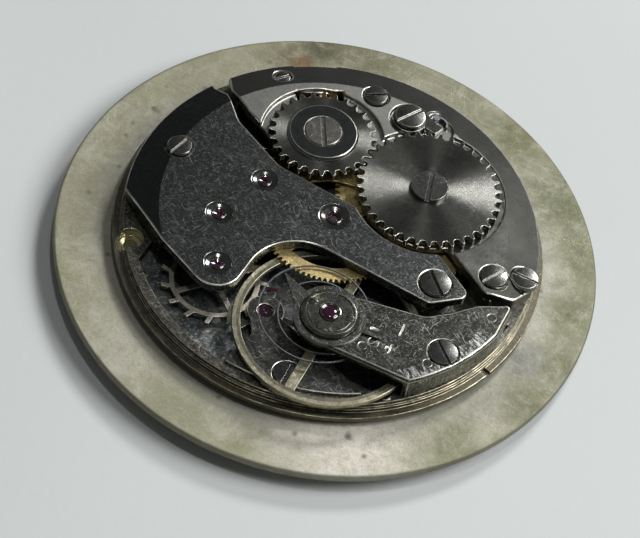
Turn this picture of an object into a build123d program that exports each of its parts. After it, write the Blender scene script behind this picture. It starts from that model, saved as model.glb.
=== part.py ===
from build123d import *
import math
import os

# Hand-wound watch movement on its dial. Millimetres. Z runs from the dial to the bridges, Y runs
# outward along the winding stem, X points to twelve o'clock on the dial and the origin lies on the
# centre arbor at the back of the dial.

# Sizes in plan, from which the layout takes its scale
plate_radius = 11.85
flange_overhang = 0.45
disc_ledge = 0.05
rim_step = 0.1
dial_border = 3.15
bridge_radius = plate_radius - flange_overhang
disc_radius = bridge_radius + disc_ledge
rim_radius = bridge_radius - rim_step
dial_radius = plate_radius + dial_border

# Dial
dial_thickness = 0.5
dial_edge_round = 0.16
dial_centre_hole = 1.05
dial_seconds_hole = 0.35
dial_foot_radius = 0.4
dial_foot_place_share = 0.885965
dial_foot_height = 0.9
dial_foot_bearings = (-49.0, 131.0)

# Main plate
plate_thickness = 1.2
rim_step_height = 0.95
flange_low = 0.42
flange_high = 0.72
floor_height = 0.6
well_rim_radius_share = 0.942982
barrel_floor_height = 0.3
dial_recess = 0.4
shallow_recess = 0.2
boss_top = 1.9
boss_half_width_share = 0.096491
stem_height = 1.27
stem_radius = 0.4
stem_square_share = 0.72
stem_bore_start_share = 0.815789

# Bridges and cocks
bridge_low = 2.0
bridge_top = 2.6
bevel_start_share = 0.833333
bevel_drop = 0.65
bridge_foot_inner_share = 0.842105
screw_foot_radius_share = 0.100877
edge_bevel = 0.13
cock_radius_share = 0.982456
cock_low = 2.2
cock_top = 2.6
pallet_cock_low = 1.14
pallet_cock_top = 1.38
wheel_recess_floor = 2.35
crown_recess_radius_share = 0.302632
ratchet_recess_radius_share = 0.377193
barrel_edge_radius_share = 0.333333
mark_depth = 0.05
mark_width = 0.1
mark_length = 0.6

# Wheel centres: a distance and a bearing from the wheel before, in degrees
third_distance_share = 0.381754
third_bearing = 146.05
fourth_distance_share = 0.307807
fourth_bearing = 220.95
escape_distance_share = 0.296667
escape_bearing = 265.1
pallet_distance_share = 0.296053
pallet_bearing = -40.7
balance_distance_share = 0.295526
balance_bearing = -21.2
barrel_distance_share = 0.501316
barrel_bearing = 19.1
crown_distance_share = 0.587982
crown_bearing = 146.2
minute_distance_share = 0.210526
minute_bearing = 150.0
setting_bearing = 72.0

# Teeth in the train, the winding work and the motion work
barrel_teeth = 78
centre_pinion_teeth = 12
centre_wheel_teeth = 80
third_pinion_teeth = 10
third_wheel_teeth = 75
fourth_pinion_teeth = 10
fourth_wheel_teeth = 80
escape_pinion_teeth = 8
escape_teeth = 15
ratchet_teeth = 38
crown_teeth = 28
winding_teeth = 11
cannon_teeth = 12
minute_teeth = 36
minute_pinion_teeth = 10
hour_teeth = 40
setting_teeth = 34
clutch_teeth = 11

# Levels of the wheels
third_wheel_low = 0.7
train_wheel_thickness = 0.12
escape_wheel_low = 0.95
fourth_wheel_low = 1.4
centre_wheel_low = 1.82
centre_wheel_thickness = 0.13
barrel_low = 0.36
barrel_teeth_low = 1.45
barrel_teeth_high = 1.7
cover_top = 1.74
cover_thickness = 0.1
drum_radius_share = 0.403509
drum_wall = 0.15
winding_wheel_low = 2.4
winding_wheel_thickness = 0.45

# Arbors, pivots and bearings
pivot_radius = 0.1
centre_arbor_radius = 0.28
arbor_radius = 0.2
staff_radius = 0.3
seconds_pivot_radius = 0.28
seconds_pivot_reach = 1.2
running_clearance = 0.02
jewel_radius = 0.55
jewel_thickness = 0.25
sink_radius = 0.78
sink_depth = 0.12
centre_jewel_radius = 0.6
centre_sink_radius = 0.9
barrel_pivot_radius = 0.42
barrel_top_pivot_radius_share = 0.063158
barrel_core_radius_share = 0.078947
arbor_square = 0.9

# Balance and hairspring
balance_radius_share = 0.444737
balance_rim_width_share = 0.039474
balance_rim_low = 1.46
balance_rim_high = 1.75
balance_arm_low = 1.5
balance_arm_high = 1.65
balance_arm_width_share = 0.052632
balance_arm_bearing = 59.4
balance_hub_radius = 0.75
roller_radius = 0.75
roller_low = 1.1
roller_thickness = 0.12
impulse_pin_radius = 0.1
impulse_pin_place = 0.55
collet_radius = 0.5
spring_low = 2.04
spring_height = 0.1
spring_strip = 0.06
spring_half_turns = 8
spring_wide_step_share = 0.049298
spring_narrow_step_share = 0.020877
spring_shift_bearing = 131.0
stud_radius = 0.22

# Cock head
head_radius_share = 0.166667
cap_radius = 0.62
cap_ring_radius_share = 0.114035
cap_setting_radius_share = 0.135965
cap_setting_height = 0.38
cap_screw_radius = 0.24
regulator_thickness = 0.12
regulator_reach_share = 0.280702
regulator_pointer_reach_share = 0.263158
regulator_pointer_bearing = -30.0
regulator_width_share = 0.036842
curb_pin_radius = 0.07

# Pallets and escape wheel
escape_tip_radius_share = 0.257018
escape_rim_radius_share = 0.214912
escape_rim_width_share = 0.024561
stone_width = 0.24
stone_length = 0.6
stone_bite = 0.08
fork_width = 0.3
fork_slot_clearance = 0.03
pallet_head_radius_share = 0.087719

# Winding work
crown_core_radius_share = 0.175439
crown_core_top = 3.05
crown_hub_radius_share = 0.109649
crown_screw_radius_share = 0.092105
ratchet_screw_radius_share = 0.092105
ratchet_screw_height = 0.25
click_radius_share = 0.085088
click_low = 2.4
click_thickness = 0.3
click_screw_radius_share = 0.077193
click_nose_gap = 0.06
click_spring_strip = 0.12
click_nose_bearing = 76.0
click_foot_radius = 0.2
click_foot_low = 2.1
click_foot_room_share = 0.04386
click_pocket_radius_share = 0.070175
winding_tip_radius_share = 0.102632
winding_start_share = 0.725439
winding_length_share = 0.04386
clutch_radius_share = 0.074561
clutch_start_share = 0.607895
clutch_length_share = 0.114035
clutch_travel_share = 0.061404
groove_radius_share = 0.04386
groove_width_share = 0.022807

# Keyless work on the dial side
lever_low = 0.12
lever_thickness = 0.22
lever_finger_top = 0.72
finger_width_share = 0.014035
clutch_lever_reach_share = 0.22807
post_radius = 0.25
lever_stud_radius = 0.12
lever_stud_gap = 0.08
lever_stud_top = 0.84
lever_stud_place_share = 0.852632
lever_slot_length_share = 0.063158
lever_turn = 9.0
lever_spring_strip = 0.12

# Motion work
cannon_radius = 0.61
cannon_reach = 1.4
cannon_seat_radius = 0.45
cannon_seat_start = 1.05
hour_pipe_radius = 1.0
hour_pipe_reach = 1.0
hour_seat_radius = 0.8
hand_seat_start = 0.55
seconds_seat_radius = 0.12
hour_wheel_low = 0.04
motion_wheel_thickness = 0.12
minute_wheel_low = 0.2

# Screws
screw_shank_radius = 0.34
screw_hole_clearance = 0.06
screw_head_height = 0.32
slot_width_share = 0.24
slot_depth_share = 0.45
head_edge_share = 0.2
jewel_edge_share = 0.3
cut_overrun = 2.0
touch_gap = 0.01
free_gap = 0.15

# Pins and the smaller screws
pin_radius = 0.25
pin_low = 0.75
pin_top = 1.7
screw_end = 0.45
lever_shank = 0.25
foot_screw_radius = 0.2
foot_screw_height = (flange_low + flange_high) / 2
screw_head_rise = 0.12
screw_head_top = bridge_top + screw_head_rise
screw_head_low = screw_head_top - screw_head_height
cock_screw_rise = 0.05
cock_screw_height = 0.22
cock_screw_top = cock_top + cock_screw_rise
cock_screw_low = cock_screw_top - cock_screw_height
case_head_low = 2.1
case_head_top = 2.45
lever_head_low = 1.9
lever_head_top = 2.18
stud_screw_shank = 0.12
stud_screw_sink = 0.15
stud_screw_low = cock_top - stud_screw_sink
cap_sink = 0.05
cap_low = cock_top - cap_sink
cap_screw_bearings = (140.0, -20.0)

# Places on the plate as shares of the bridge radius: x, y, head radius, slot bearing in degrees
train_left_screw_share = (-0.713, 0.411, 0.061, 45)
train_right_screw_share = (0.447, -0.389, 0.077, -75)
barrel_upper_screw_share = (0.275, 0.756, 0.061, 5)
barrel_lower_screw_share = (0.732, -0.344, 0.066, 30)
case_screw_share = (0.886, -0.336, 0.068, -30)
cock_screw_share = (0.440, -0.781, 0.070, -72)
click_screw_share = (0.427, 0.610, 0.077, 30)
lever_screw_share = (-0.174, 0.895, 0.042, 20)
pallet_screw_share = (-0.276, -0.833, 0.066, 62)
empty_hole_share = (-0.956, -0.053, 0.057)
stud_screw_share = (0.122, -0.728, 0.025, 20)
cock_pin_shares = ((0.360, -0.842), (0.693, -0.583))
bridge_pin_shares = ((-0.83, 0.30), (-0.54, 0.74), (0.50, -0.42), (-0.35, 0.85), (0.80, 0.52))
rim_pin_share = (0.175, -0.945)
clutch_lever_post_share = (-0.228, 0.614)
click_foot_share = (0.566, 0.632)
click_pocket_share = (0.570, 0.553)
click_spring_middle_share = (0.608, 0.612)
click_spring_end_share = (0.607, 0.571)
lever_spring_shares = ((-0.380, 0.500), (-0.300, 0.520), (-0.255, 0.585))
rim_slot_share = (0.98, -39.0, 0.17, 0.022)

# Plain plus and minus marks by the regulator: x and y shares, length share, bearing
mark_shares = ((0.135, -0.655, 0.8, -25), (0.262, -0.660, 1.2, 65), (0.196, -0.765, 0.9, -25),
               (0.196, -0.765, 0.9, 65))

# Tooth shapes as shares of the module or of the pitch
addendum_share = 0.85
dedendum_share = 1.2
tooth_root_share = 0.31
tooth_tip_share = 0.11
round_root_share = 1.0
round_gap_share = 0.94
round_gap_spread_share = 1.9
escape_tooth_angle_shares = (-0.24, -0.36, -0.16, 0.02, 0.30)
escape_tooth_reach_shares = (0.0, 0.90, 1.0, 0.0, 0.0)
click_nose_shares = ((0.0, 0.0), (0.57, -5.0), (0.80, 1.0), (1.42, 6.0))
pallet_jewel_share = 0.8
pallet_span_share = 1.25
spring_samples = 36

# Rims, hubs and arms of the wheels
train_arms = 4
wheel_rim_width_share = 0.039474
wheel_hub_radius_share = 0.04386
wheel_arm_width_share = 0.026316
centre_rim_width_share = 0.074561
centre_hub_radius_share = 0.087719
centre_arm_width_share = 0.061404
centre_arm_bearing = 30.0
centre_seat_radius_share = 0.04386
centre_top_pivot = 0.2
escape_arm_bearing = 20.0
mainspring_strip = 0.12
mainspring_half_turns = 13
mainspring_step_share = 0.023684
ratchet_slot_bearing = 75.0
crown_slot_bearing = 88.0
groove_middle_share = 0.644737

# Outlines as shares of the bridge radius: x, y, corner radius
train_bridge_shares = (
    (-0.456, 0.763, 0.026), (-0.513, 0.820, 0.018), (-0.553, 1.009, 0.0), (-1.096, 0.789, 0.0),
    (-1.026, 0.289, 0.0), (-0.825, -0.149, 0.090), (-0.575, -0.511, 0.123),
    (-0.267, -0.050, 0.263), (0.404, -0.502, 0.044), (0.610, -0.465, 0.040),
    (0.456, -0.167, 0.0), (0.474, 0.164, 0.0), (0.193, 0.004, 0.0), (-0.241, 0.307, 0.105),
    (-0.417, 0.579, 0.130),
)
barrel_bridge_shares = (
    (-0.443, 1.100, 0.0), (-0.434, 0.789, 0.035), (-0.368, 0.649, 0.044),
    (-0.289, 0.535, 0.035), (-0.202, 0.377, 0.053), (-0.035, 0.298, 0.044),
    (0.193, 0.307, 0.0), (0.474, 0.164, 0.0), (0.504, -0.114, 0.0), (0.680, -0.443, 0.031),
    (0.820, -0.456, 0.053), (1.053, -0.281, 0.0), (1.300, 0.400, 0.0), (0.900, 1.200, 0.0),
    (0.100, 1.300, 0.0),
)
cock_shares = (
    (-0.184, -0.706, 0.044), (0.342, -0.991, 0.0), (0.579, -0.900, 0.0),
    (0.737, -0.632, 0.044), (0.820, -0.491, 0.026), (0.754, -0.504, 0.035),
    (0.632, -0.504, 0.044), (0.496, -0.548, 0.053), (0.377, -0.570, 0.070),
    (0.031, -0.452, 0.0), (-0.075, -0.584, 0.0),
)
pallet_cock_shares = (
    (-0.425, -0.491, 0.0), (-0.425, -0.605, 0.044), (-0.456, -0.658, 0.035),
    (-0.553, -0.737, 0.044), (-0.575, -0.850, 0.0), (-0.550, -1.000, 0.0), (0.120, -1.050, 0.0),
    (0.030, -0.890, 0.070), (-0.270, -0.530, 0.0), (-0.350, -0.477, 0.0),
)
pallet_pad_line_share = -0.665
left_floor_shares = (
    (-0.851, -0.061, 0.0), (-1.000, -0.280, 0.0), (-1.100, -0.500, 0.0), (-0.900, -1.000, 0.0),
    (-0.640, -0.810, 0.0), (-0.509, -0.667, 0.030), (-0.400, -0.560, 0.0), (-0.400, -0.300, 0.0),
    (-0.620, -0.100, 0.0),
)
keyless_shares = (
    (-0.420, 0.460, 0.02), (-0.080, 0.520, 0.02), (-0.080, 0.770, 0.02), (0.050, 0.800, 0.02),
    (0.065, 0.925, 0.02), (-0.200, 0.955, 0.02), (-0.420, 0.800, 0.02),
)
setting_lever_shares = (
    (-0.215, 0.915, 0.02), (-0.160, 0.932, 0.02), (0.028, 0.880, 0.02), (0.028, 0.825, 0.02),
    (-0.105, 0.835, 0.02), (-0.150, 0.720, 0.01), (-0.190, 0.725, 0.01),
)

# Sizes in plan that follow from the bridge radius
dial_foot_place = dial_foot_place_share * bridge_radius
well_rim_radius = well_rim_radius_share * bridge_radius
boss_half_width = boss_half_width_share * bridge_radius
stem_bore_start = stem_bore_start_share * bridge_radius
bevel_start = bevel_start_share * bridge_radius
bridge_foot_inner = bridge_foot_inner_share * bridge_radius
screw_foot_radius = screw_foot_radius_share * bridge_radius
cock_radius = cock_radius_share * bridge_radius
crown_recess_radius = crown_recess_radius_share * bridge_radius
ratchet_recess_radius = ratchet_recess_radius_share * bridge_radius
barrel_edge_radius = barrel_edge_radius_share * bridge_radius
third_distance = third_distance_share * bridge_radius
fourth_distance = fourth_distance_share * bridge_radius
escape_distance = escape_distance_share * bridge_radius
pallet_distance = pallet_distance_share * bridge_radius
balance_distance = balance_distance_share * bridge_radius
barrel_distance = barrel_distance_share * bridge_radius
crown_distance = crown_distance_share * bridge_radius
minute_distance = minute_distance_share * bridge_radius
drum_radius = drum_radius_share * bridge_radius
barrel_core_radius = barrel_core_radius_share * bridge_radius
barrel_top_pivot_radius = barrel_top_pivot_radius_share * bridge_radius
balance_radius = balance_radius_share * bridge_radius
balance_rim_width = balance_rim_width_share * bridge_radius
balance_arm_width = balance_arm_width_share * bridge_radius
spring_wide_step = spring_wide_step_share * bridge_radius
spring_narrow_step = spring_narrow_step_share * bridge_radius
head_radius = head_radius_share * bridge_radius
cap_ring_radius = cap_ring_radius_share * bridge_radius
cap_setting_radius = cap_setting_radius_share * bridge_radius
regulator_reach = regulator_reach_share * bridge_radius
regulator_pointer_reach = regulator_pointer_reach_share * bridge_radius
regulator_width = regulator_width_share * bridge_radius
escape_tip_radius = escape_tip_radius_share * bridge_radius
escape_rim_radius = escape_rim_radius_share * bridge_radius
escape_rim_width = escape_rim_width_share * bridge_radius
pallet_head_radius = pallet_head_radius_share * bridge_radius
crown_core_radius = crown_core_radius_share * bridge_radius
crown_hub_radius = crown_hub_radius_share * bridge_radius
crown_screw_radius = crown_screw_radius_share * bridge_radius
ratchet_screw_radius = ratchet_screw_radius_share * bridge_radius
click_radius = click_radius_share * bridge_radius
click_screw_radius = click_screw_radius_share * bridge_radius
click_foot_room = click_foot_room_share * bridge_radius
click_pocket_radius = click_pocket_radius_share * bridge_radius
winding_tip_radius = winding_tip_radius_share * bridge_radius
winding_start = winding_start_share * bridge_radius
winding_length = winding_length_share * bridge_radius
clutch_radius = clutch_radius_share * bridge_radius
clutch_start = clutch_start_share * bridge_radius
clutch_length = clutch_length_share * bridge_radius
clutch_travel = clutch_travel_share * bridge_radius
groove_radius = groove_radius_share * bridge_radius
groove_width = groove_width_share * bridge_radius
groove_middle = groove_middle_share * bridge_radius
clutch_lever_reach = clutch_lever_reach_share * bridge_radius
finger_width = finger_width_share * bridge_radius
lever_stud_place = lever_stud_place_share * bridge_radius
lever_slot_length = lever_slot_length_share * bridge_radius
centre_rim_width = centre_rim_width_share * bridge_radius
centre_hub_radius = centre_hub_radius_share * bridge_radius
centre_arm_width = centre_arm_width_share * bridge_radius
centre_seat_radius = centre_seat_radius_share * bridge_radius
wheel_rim_width = wheel_rim_width_share * bridge_radius
wheel_hub_radius = wheel_hub_radius_share * bridge_radius
wheel_arm_width = wheel_arm_width_share * bridge_radius
mainspring_step = mainspring_step_share * bridge_radius

nodes = {}
upright = (Align.CENTER, Align.CENTER, Align.MIN)
os.makedirs("parts", exist_ok=True)


def polar(origin, distance, bearing):
    """Point at a distance and bearing in degrees from an origin."""
    angle = math.radians(bearing)
    return (origin[0] + distance * math.cos(angle), origin[1] + distance * math.sin(angle))


def placed(share):
    """Point on the plate from its shares of the bridge radius."""
    return (share[0] * bridge_radius, share[1] * bridge_radius)


def disc(radius, low, high, at=(0, 0)):
    """Upright cylinder between two levels."""
    body = Cylinder(radius, high - low, align=upright)
    return Pos(at[0], at[1], low) * body


def ring(outer, inner, low, high, at=(0, 0)):
    """Upright tube between two levels."""
    return disc(outer, low, high, at) - disc(inner, low - cut_overrun, high + cut_overrun, at)


def block(width, length, low, high, at=(0, 0), bearing=0):
    """Upright box between two levels, its width along the bearing."""
    body = Box(width, length, high - low, align=upright)
    return Pos(at[0], at[1], low) * Rot(0, 0, bearing) * body


def slab(face, low, high):
    """Solid of a flat outline between two levels."""
    return Pos(0, 0, low) * extrude(face, high - low, dir=(0, 0, 1))


def rounded_face(corners):
    """Face of a closed polygon whose corners x, y, radius are rounded by arcs."""
    edges = []
    joints = []
    count = len(corners)
    for index, (x, y, radius) in enumerate(corners):
        here = Vector(x, y)
        before = (Vector(*corners[index - 1][:2]) - here).normalized()
        after = (Vector(*corners[(index + 1) % count][:2]) - here).normalized()
        half = math.radians(before.get_angle(after)) / 2
        if radius == 0:
            joints.append((here, None, here))
            continue
        reach = radius / math.tan(half)
        middle = (before + after).normalized() * (radius / math.sin(half) - radius)
        joints.append((here + before * reach, here + middle, here + after * reach))
    for index, (start, middle, end) in enumerate(joints):
        if middle is not None:
            edges.append(ThreePointArc(start, middle, end))
        edges.append(Line(end, joints[(index + 1) % count][0]))
    return make_face(Wire(edges))


def shared_face(shares):
    """Rounded face from corners given as shares of the bridge radius."""
    return rounded_face([tuple(value * bridge_radius for value in corner) for corner in shares])


def gear_face(count, pitch_radius, first, tip_share=addendum_share):
    """Face of a spur gear with straight flanks, one tooth centred on the bearing first."""
    module = 2 * pitch_radius / count
    tip = pitch_radius + tip_share * module
    root = pitch_radius - dedendum_share * module
    pitch_angle = 360 / count
    root_half = pitch_angle * tooth_root_share
    tip_half = pitch_angle * tooth_tip_share
    points = []
    for tooth in range(count):
        middle = first + tooth * pitch_angle
        points.append(polar((0, 0), root, middle - root_half))
        points.append(polar((0, 0), tip, middle - tip_half))
        points.append(polar((0, 0), tip, middle + tip_half))
        points.append(polar((0, 0), root, middle + root_half))
    return make_face(Polyline(*points, close=True))


def gear(count, pitch_radius, first, low, high, at=(0, 0)):
    """Spur gear between two levels."""
    return Pos(at[0], at[1], 0) * slab(gear_face(count, pitch_radius, first), low, high)


def round_toothed(count, pitch_radius, first, low, high, at):
    """Winding wheel whose tooth gaps end in round bottoms."""
    module = 2 * pitch_radius / count
    tip = pitch_radius + addendum_share * module
    root = pitch_radius - round_root_share * module
    gap_radius = round_gap_share * module
    blank = disc(tip, low, high)
    pitch_angle = 360 / count
    cuts = []
    for tooth in range(count):
        bearing = first + tooth * pitch_angle + pitch_angle / 2
        foot = polar((0, 0), root + gap_radius, bearing)
        wide = polar((0, 0), tip + module, bearing)
        side = polar((0, 0), gap_radius, bearing + 90)
        spread = polar((0, 0), gap_radius * round_gap_spread_share, bearing + 90)
        start = (foot[0] - side[0], foot[1] - side[1])
        bottom = polar((0, 0), root, bearing)
        end = (foot[0] + side[0], foot[1] + side[1])
        outer_end = (wide[0] + spread[0], wide[1] + spread[1])
        outer_start = (wide[0] - spread[0], wide[1] - spread[1])
        edges = [ThreePointArc(start, bottom, end), Line(end, outer_end)]
        edges.append(Line(outer_end, outer_start))
        edges.append(Line(outer_start, start))
        cuts.append(slab(make_face(Wire(edges)), low - cut_overrun, high + cut_overrun))
    return Pos(at[0], at[1], 0) * (blank - cuts)


def meshed(first, count, bearing, other_count):
    """Bearing of a tooth on the gear that meshes with another at a bearing from it."""
    lag = (bearing - first) % (360 / count)
    return bearing + 180 + lag * count / other_count + 180 / other_count


def pitch_radius_of(distance, own, other):
    """Pitch radius of a gear in a pair from the centre distance and the tooth counts."""
    return distance * own / (own + other)


def screw(at, head_radius, head_low, head_high, shank_low, slot_bearing, shank=screw_shank_radius):
    """Slotted screw with a lightly turned head edge."""
    height = head_high - head_low
    body = disc(head_radius, head_low, head_high, at)
    body = chamfer(body.edges().group_by(Axis.Z)[-1], height * head_edge_share)
    body += disc(shank, shank_low, head_low, at)
    width = head_radius * slot_width_share
    depth = height * slot_depth_share
    return body - block(4 * head_radius, width, head_high - depth, head_high + depth, at, slot_bearing)


def share_screw(share, head_low, head_high, shank_low):
    """Slotted screw at a named place on the plate."""
    return screw(placed(share), share[2] * bridge_radius, head_low, head_high, shank_low, share[3])


def jewel(at, radius, low, high, hole):
    """Ring stone that carries a pivot, domed by a small bevel on top."""
    stone = disc(radius, low, high, at)
    stone = chamfer(stone.edges().group_by(Axis.Z)[-1], (high - low) * jewel_edge_share)
    return stone - disc(hole, low - cut_overrun, high + cut_overrun, at)


def sink(at, radius, inner, top):
    """Dished cut round a jewel."""
    cone = Cone(inner, radius + (radius - inner), 2 * sink_depth, align=upright)
    return Pos(at[0], at[1], top - sink_depth) * cone


def screw_cut(share, head_low, shank_low):
    """Counterbore and clearance hole for a slotted screw."""
    at = placed(share)
    head = share[2] * bridge_radius + screw_hole_clearance
    hole = screw_shank_radius + screw_hole_clearance
    return disc(head, head_low, cut_overrun + bridge_top, at) + disc(hole, shank_low, bridge_top, at)


def thread_cut(share, low, high):
    """Threaded hole that a screw's shank fills."""
    return disc(screw_shank_radius, low, high, placed(share))


def union(shapes):
    """One shape from several."""
    result = shapes[0]
    for shape in shapes[1:]:
        result += shape
    return result


# Wheel centres and pitch radii
centre = (0.0, 0.0)
third = polar(centre, third_distance, third_bearing)
fourth = polar(third, fourth_distance, fourth_bearing)
escape = polar(fourth, escape_distance, escape_bearing)
pallet = polar(escape, pallet_distance, pallet_bearing)
balance = polar(pallet, balance_distance, balance_bearing)
barrel = polar(centre, barrel_distance, barrel_bearing)
crown = polar(barrel, crown_distance, crown_bearing)
minute = polar(centre, minute_distance, minute_bearing)
minute_radius = pitch_radius_of(minute_distance, minute_teeth, cannon_teeth)
cannon_pitch = pitch_radius_of(minute_distance, cannon_teeth, minute_teeth)
hour_radius = pitch_radius_of(minute_distance, hour_teeth, minute_pinion_teeth)
minute_pinion_radius = pitch_radius_of(minute_distance, minute_pinion_teeth, hour_teeth)
setting_radius = minute_radius * setting_teeth / minute_teeth
setting = polar(minute, minute_radius + setting_radius, setting_bearing)
barrel_pitch = pitch_radius_of(barrel_distance, barrel_teeth, centre_pinion_teeth)
centre_pinion_pitch = pitch_radius_of(barrel_distance, centre_pinion_teeth, barrel_teeth)
centre_wheel_pitch = pitch_radius_of(third_distance, centre_wheel_teeth, third_pinion_teeth)
third_pinion_pitch = pitch_radius_of(third_distance, third_pinion_teeth, centre_wheel_teeth)
third_wheel_pitch = pitch_radius_of(fourth_distance, third_wheel_teeth, fourth_pinion_teeth)
fourth_pinion_pitch = pitch_radius_of(fourth_distance, fourth_pinion_teeth, third_wheel_teeth)
fourth_wheel_pitch = pitch_radius_of(escape_distance, fourth_wheel_teeth, escape_pinion_teeth)
escape_pinion_pitch = pitch_radius_of(escape_distance, escape_pinion_teeth, fourth_wheel_teeth)
ratchet_pitch = pitch_radius_of(crown_distance, ratchet_teeth, crown_teeth)
crown_pitch = pitch_radius_of(crown_distance, crown_teeth, ratchet_teeth)
crown_first = 90 + 180 / crown_teeth
ratchet_first = meshed(crown_first, crown_teeth, crown_bearing + 180, ratchet_teeth)
clutch_lever_post = placed(clutch_lever_post_share)
click_foot = placed(click_foot_share)
click_pocket = placed(click_pocket_share)
lever_pivot = placed(lever_screw_share)
winding_wheel_top = winding_wheel_low + winding_wheel_thickness
pivot_hole = pivot_radius + running_clearance
pallet_jewel_radius = jewel_radius * pallet_jewel_share
jewel_low = bridge_top - sink_depth - jewel_thickness
plate_jewel_low = dial_recess


def bevelled(face, radius, low, top):
    """Bridge slab inside a round edge that falls in a broad bevel."""
    body = slab(face, low, top)
    rim = disc(radius, low, top)
    cone_height = top - low + cut_overrun
    slope = bevel_drop / (bridge_radius - bevel_start)
    cone = Cone(bevel_start + cone_height / slope, bevel_start, cone_height,
                align=(Align.CENTER, Align.CENTER, Align.MAX))
    return body & rim & (Pos(0, 0, top) * cone)


def make_dial():
    body = disc(dial_radius, -dial_thickness, 0)
    body = fillet(body.edges(), dial_edge_round)
    body -= disc(dial_centre_hole, -dial_thickness - cut_overrun, cut_overrun)
    body -= disc(dial_seconds_hole, -dial_thickness - cut_overrun, cut_overrun, fourth)
    for bearing in dial_foot_bearings:
        at = polar(centre, dial_foot_place, bearing)
        body += disc(dial_foot_radius, -dial_thickness / 2, dial_foot_height, at)
    nodes["dial"] = body


def pad_face():
    """Part of the pallet cock's outline that stands on the plate."""
    line = pallet_pad_line_share * bridge_radius
    keep = Pos(0, line - bridge_radius) * Rectangle(4 * bridge_radius, 2 * bridge_radius)
    return shared_face(pallet_cock_shares) & keep


def train_floor():
    """Everything sunk to the level under the wheels and the balance."""
    top = plate_thickness + cut_overrun
    limit = disc(well_rim_radius, 0, top)
    left = slab(shared_face(left_floor_shares), floor_height, top)
    well = disc(balance_radius + free_gap, floor_height, top, balance)
    escape_room = disc(escape_tip_radius + 4 * free_gap, floor_height, top, escape)
    third_room = disc(third_wheel_pitch + free_gap + free_gap, floor_height, top, third)
    fourth_room = disc(fourth_pinion_pitch + 2 * free_gap, floor_height, top, fourth)
    pallet_room = disc(pallet_head_radius + 5 * free_gap, floor_height, top, pallet)
    cock_room = slab(shared_face(pallet_cock_shares), pallet_cock_low, top)
    room = union([left, well, escape_room, third_room, fourth_room, pallet_room, cock_room])
    room = room & limit
    pad = slab(pad_face(), 0, pallet_cock_low)
    return room - pad


def dial_side_cuts():
    """Recesses for the motion work and the keyless work under the plate."""
    low = -cut_overrun
    hour_room = disc(hour_radius + free_gap, low, shallow_recess)
    cannon_room = disc(cannon_pitch + free_gap, low, dial_recess)
    minute_room = disc(minute_radius + free_gap, low, dial_recess, minute)
    minute_room -= disc(post_radius, low, dial_recess, minute)
    setting_room = disc(setting_radius + free_gap, low, dial_recess, setting)
    setting_room -= disc(post_radius, low, dial_recess, setting)
    keyless = slab(shared_face(keyless_shares), low, dial_recess)
    keyless -= disc(post_radius, low, dial_recess, clutch_lever_post)
    return [hour_room, cannon_room, minute_room, setting_room, keyless]


def make_main_plate():
    body = disc(disc_radius, 0, rim_step_height) + disc(rim_radius, 0, plate_thickness)
    body += disc(plate_radius, flange_low, flange_high)
    boss_length = rim_radius - stem_bore_start
    boss_middle = (0, stem_bore_start + boss_length / 2)
    boss = block(2 * boss_half_width, boss_length, plate_thickness, boss_top, boss_middle)
    body += boss & disc(rim_radius, 0, boss_top)
    slot_end = winding_start + winding_length + free_gap
    clutch_low = clutch_start - clutch_travel - free_gap
    clutch_room = winding_start - 2 * free_gap - clutch_low
    pinion_room = slot_end - winding_start + 2 * free_gap
    bore = Cylinder(stem_radius, plate_radius, align=upright)
    cuts = [
        disc(drum_radius + free_gap, barrel_floor_height, plate_thickness + cut_overrun, barrel),
        block(2 * (clutch_radius + free_gap), clutch_room + free_gap, -cut_overrun, cut_overrun,
              (0, clutch_low + (clutch_room + free_gap) / 2)),
        block(2 * (winding_tip_radius + free_gap), pinion_room, -cut_overrun, cut_overrun,
              (0, slot_end - pinion_room / 2)),
        Pos(0, slot_end - free_gap, stem_height) * Rot(-90, 0, 0) * bore,
        block(2 * (lever_stud_radius + lever_stud_gap), lever_slot_length, 0, stem_height,
              (0, lever_stud_place + lever_slot_length / 2 - lever_stud_radius - lever_stud_gap)),
    ]
    body -= [train_floor()] + dial_side_cuts() + cuts + plate_holes()
    nodes["main_plate"] = body


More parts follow.
